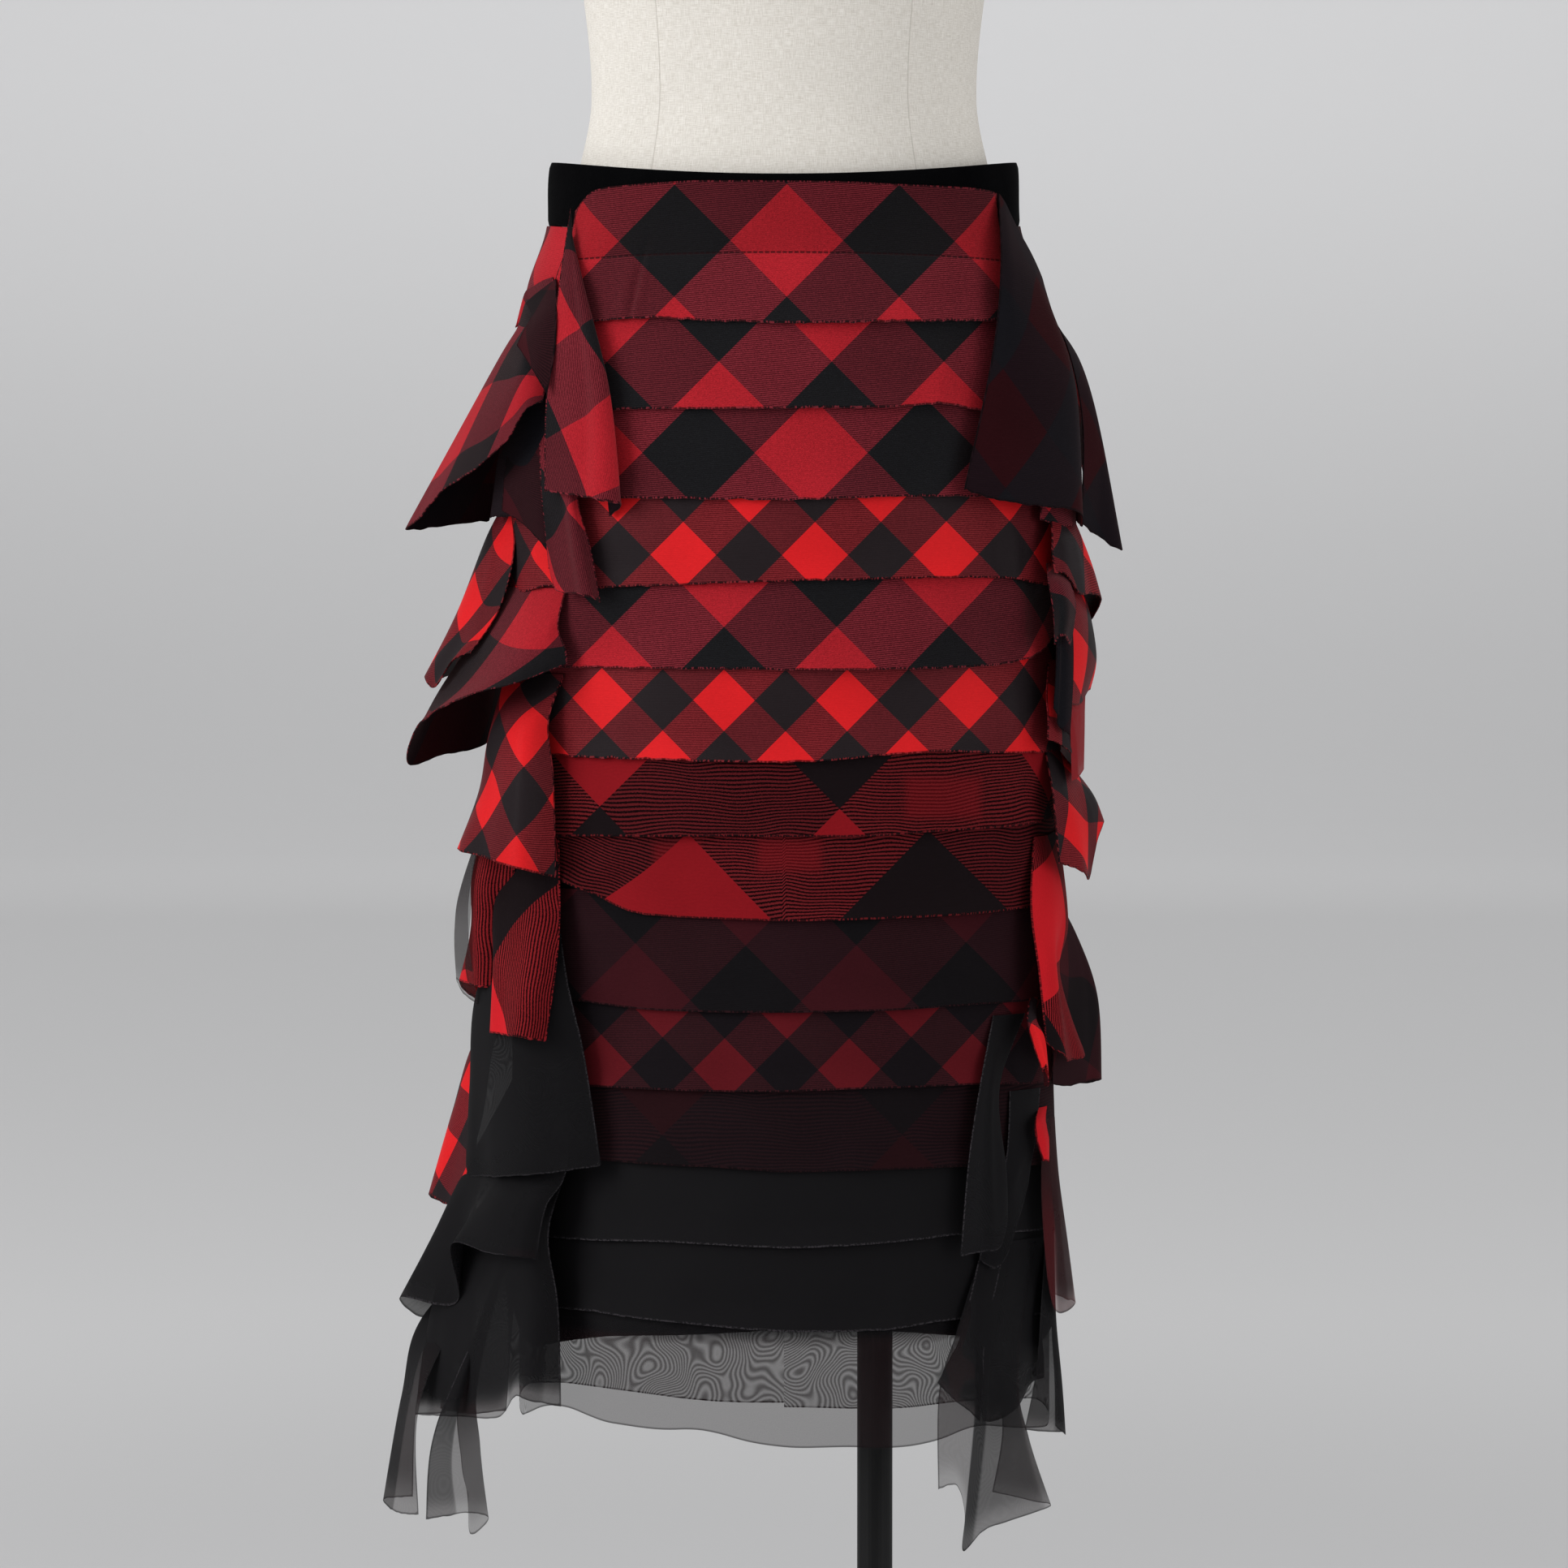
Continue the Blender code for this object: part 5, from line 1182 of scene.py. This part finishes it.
        (46, 359, 3.0, 1180, 1640, 102, 1158, 1715, 106, 1157, 1835, 108),
        (49, 359, 3.0, 1192, 1640, 106, 1176, 1730, 113, 1180, 1831, 117),
        (52, 359, 3.0, 1204, 1650, 108, 1200, 1745, 117, 1190, 1865, 122),
        (54, 359, 3.0, 1217, 1665, 106, 1209, 1758, 115, 1188, 1911, 119),
        (57, 359, 3.1, 1228, 1670, 100, 1222, 1780, 106, 1215, 1885, 110),
        (61, 359, 3.1, 1242, 1680, 90, 1246, 1775, 96, 1251, 1872, 98),
        (65, 359, 3.2, 1256, 1690, 78, 1268, 1770, 81, 1296, 1856, 82),
        (69, 360, 2.8, 1250, 1690, 66, 1262, 1770, 66, 1278, 1850, 64),
        (70, 361, 2.2, 1238, 1685, 58, 1236, 1770, 57, 1224, 1838, 56))},
    "right_end_13_side": {"cloth": "chiffon", "pleats": ((0, 1, 2.5), (0.3, 0.6, 2)),
        "lay": ("red", 1290, 1680, 0), "folds": ((0.4, 0.15, 2.5),), "lines": (
        (74, 362, 1.2, 1284, 1610, 58, 1278, 1690, 62, 1264, 1762, 64),
        (82, 362, 1.2, 1298, 1610, 42, 1302, 1700, 45, 1303, 1765, 46),
        (90, 362, 1.2, 1303, 1630, 14, 1309, 1700, 12, 1314, 1768, 11),
        (98, 361, 1.2, 1297, 1630, -20, 1301, 1700, -28, 1302, 1757, -34))},
}
loose = {"wall": 0.7, "columnsPerLine": 11, "rows": 44, "root": 2.5, "near": 8, "crowd": 1.2, "tip": 0.35,
         "thickCut": 0.0005, "thinCut": 0.00025, "pleats": ((0, 1, 3),), "pleatEdge": 40, "foldReach": 1.1,
         "crowdTo": 0.75, "tipFrom": 0.86, "tipOver": 0.1, "moire": 0.01, "seed": 200}


def smoothThrough(values, count):
    # a curve through evenly spaced values along the first axis
    steps = np.linspace(0, len(values) - 1, count)
    k = np.minimum(steps.astype(int), len(values) - 2)
    u = (steps - k).reshape((-1,) + (1,) * (values.ndim - 1))
    p0, p1, p2, p3 = (values[np.clip(k + d, 0, len(values) - 1)] for d in (-1, 0, 1, 2))
    return p1 + 0.5 * u * (p2 - p0 + u * (2 * p0 - 5 * p1 + 4 * p2 - p3 + u * (3 * (p1 - p2) + p3 - p0)))


def loosePoints(end, left, seed):
    net = []
    for row in end["lines"]:
        (turn, height, out), *spots = np.reshape(row, (-1, 3))
        root = onBody(-turn if left else turn, height, max(out, loose["root"]))
        net.append([root] + [inPhoto(*spot) for spot in spots])
    net = np.array(net[::-1] if left else net)
    columns = loose["columnsPerLine"] * (len(net) - 1) + 1
    points = smoothThrough(np.swapaxes(smoothThrough(net, columns), 0, 1), loose["rows"])
    # folds deepen towards the tip
    normal = np.cross(np.gradient(points, axis=0), np.gradient(points, axis=1))
    normal /= np.linalg.norm(normal, axis=2, keepdims=True) + 1e-12
    share = np.linspace(0, 1, columns)
    deep = smoothStep(np.linspace(0, 1, loose["rows"]) * loose["foldReach"])[:, None]
    for middle, width, depth in end.get("folds", ()):
        spot = 1 - middle if left else middle
        points = points + normal * (0.001 * depth * deep * np.exp(-((share - spot) / width) ** 2))[..., None]
    uneven = loose["thickCut" if end["cloth"] in ("large", "reverse") else "thinCut"]
    points[-1, :, 2] += cutLine(seed, uneven, columns)
    return points[::-1]


def layCheck(end, points):
    across, up = gridSteps(points)
    colour, pixelAcross, pixelDown, turn = end["lay"][:4]
    offRight, offUp, bigger = end["lay"][4:] + (0, 0, 1)[len(end["lay"]) - 4:]
    gap = np.linalg.norm(toPhoto(points) - (pixelAcross, pixelDown), axis=2)
    gap = np.where(gap < gap.min() + loose["near"], points[..., 1], 10)
    spot = np.unravel_index(np.argmin(gap), gap.shape)
    cosine, sine = math.cos(math.radians(turn)), math.sin(math.radians(turn))
    right, rise = across - across[spot] + offRight, up - up[spot] + offUp
    size = checks.get(end["cloth"], checks["large"])["size"] if colour == "black" else 0
    return (right * cosine + rise * sine) / bigger + size, (rise * cosine - right * sine) / bigger


def pleatLayers(end, left, columns):
    # chiffon ends hang in pleats, so some strips of their width have more layers
    share = np.linspace(0, 1, columns)
    share = 1 - share if left else share
    layers = np.zeros(columns)
    for start, stop, count in end.get("pleats", loose["pleats"]):
        layers = layers + (count * smoothStep((share - start) * loose["pleatEdge"] + 0.5)
                           * smoothStep((stop - share) * loose["pleatEdge"] + 0.5))
    hang = np.linspace(1, 0, loose["rows"])[:, None]
    crowd = loose["crowd"] * (1 - smoothStep(hang / loose["crowdTo"]))
    thinned = end.get("tip", loose["tip"]) * smoothStep((hang - loose["tipFrom"]) / loose["tipOver"])
    return layers * (1 + crowd - thinned)


def makeLooseEnd(node, end, seed):
    left = node.startswith("left")
    side, kind, number, *rest = node.split("_")
    name = side + kind.capitalize() + number + "".join(word.capitalize() for word in rest)
    points = loosePoints(end, left, seed)
    layAcross, layUp = layCheck(end, points)
    piece = makeSheet(name, points, layAcross, layUp, end["cloth"], undersides.get(end["cloth"]),
                      0 if end["cloth"] in chiffons else loose["wall"], raw=rawDistance(*gridSteps(points)),
                      glow=0, layers=pleatLayers(end, left, points.shape[1]), moire=loose["moire"])
    place(piece, f"{side}_{kind}_{number}",
          points)


print("loose ends")
for number, (node, end) in enumerate(looseEnds.items()):
    makeLooseEnd(node, end, loose["seed"] + number)


# The camera, the studio and its light: metres and watts

studio = {"radius": 10, "curve": 3, "wall": 1, "turns": 96, "rings": 10, "world": 0.6,
          "nearFloor": (1.2, 2.8), "farFloor": (8.5, 11.5), "wallFrom": (0.1, 1.8),
          # paper: the tones of a painted shading on the backdrop, for the near floor, the further floor and
          # the wall
          "paper": (srgb(206, 206, 207), srgb(223, 223, 224), srgb(233, 233, 234))}
lamps = {
    "key": {"at": (-4.4, -2.3, 2.2), "aim": (0, 0, 0.75), "size": 3.0, "power": 166},
    "fill": {"at": (3.6, -2.6, 0.7), "aim": (0, 0, 0.75), "size": 2.6, "power": 56},
    "top": {"at": (0.2, -0.8, 3.4), "aim": (0, 0, 0.75), "size": 2.0, "power": 6},
    "back": {"at": (0, 9.5, 4.3), "aim": (0, 13.5, 3.0), "size": 4.0, "power": 44},
}


def makeCamera():
    bpy.ops.object.camera_add(location=(0, -photo["distance"], photo["height"]),
                              rotation=(math.radians(90 - photo["pitch"]), 0, 0))
    camera = bpy.context.object
    camera.data.sensor_width = photo["sensor"]
    camera.data.lens = photo["sensor"] * photo["focal"] / photo["width"]
    bpy.context.scene.camera = camera


def makeBackdrop():
    # one seamless pale dish: a floor that curves up into a round wall
    bpy.ops.mesh.primitive_circle_add(vertices=studio["turns"], radius=studio["radius"], fill_type="NGON",
                                      location=(0, 0, 0))
    dish = bpy.context.object
    dish.name = "backdrop"
    bpy.ops.object.mode_set(mode="EDIT")
    rings, reach = studio["rings"], studio["radius"]
    for step in range(rings + 1):
        angle, last = math.pi / 2 * (step + 1) / rings, math.pi / 2 * step / rings
        if step < rings:
            rise = studio["curve"] * (math.cos(last) - math.cos(angle))
            wider = studio["radius"] + studio["curve"] * math.sin(angle)
        else:
            rise, wider = studio["wall"], reach
        bpy.ops.mesh.select_all(action="DESELECT")
        bpy.ops.mesh.select_mode(type="EDGE")
        bpy.ops.mesh.select_non_manifold()
        bpy.ops.mesh.extrude_edges_move(TRANSFORM_OT_translate={"value": (0, 0, rise)})
        bpy.ops.transform.resize(value=(wider / reach, wider / reach, 1))
        reach = wider
    bpy.ops.object.mode_set(mode="OBJECT")
    bpy.ops.object.shade_smooth()
    paper = Finish("paperBackdropPaintedShading", Roughness=0.95, Specular_IOR_Level=0.1)
    spot = paper.space()
    height = paper.node("ShaderNodeSeparateXYZ", None, {0: spot}, 2)
    away = paper.node("ShaderNodeVectorMath", {"operation": "LENGTH"}, {0: spot}, 1)
    # the paper is painted darker on the floor near the middle, lighter across the floor further off and
    # lightest up the wall: a painted shading for how the light falls over the backdrop
    near, middle, wall = studio["paper"]
    clear = paper.ramp(away, *studio["nearFloor"]) * (1 - paper.ramp(away, *studio["farFloor"]))
    floor = paper.mix(clear, near, middle)
    paper.feed(Base_Color=paper.mix(paper.ramp(height, *studio["wallFrom"]), floor, wall))
    dish.data.materials.append(paper.material)


def makeLight(name, lamp):
    bpy.ops.object.light_add(type="AREA", location=lamp["at"])
    light = bpy.context.object
    light.name = name
    light.data.size = lamp["size"]
    light.data.energy = lamp["power"]
    light.visible_camera = False
    across, ahead, up = np.array(lamp["aim"]) - np.array(lamp["at"])
    tilt = math.acos(up / np.linalg.norm((across, ahead, up))) + math.pi
    light.rotation_euler = (tilt, 0, math.atan2(ahead, across) + math.pi / 2)


print("camera and light")
makeCamera()
makeBackdrop()
for name, lamp in lamps.items():
    makeLight(name, lamp)
world = bpy.data.worlds.new("studio")
world.use_nodes = True
world.node_tree.nodes["Background"].inputs["Color"].default_value = (1, 1, 1, 1)
world.node_tree.nodes["Background"].inputs["Strength"].default_value = studio["world"]
bpy.context.scene.world = world
bpy.context.scene.view_settings.view_transform = "Standard"
bpy.context.scene.cycles.transparent_max_bounces = 32
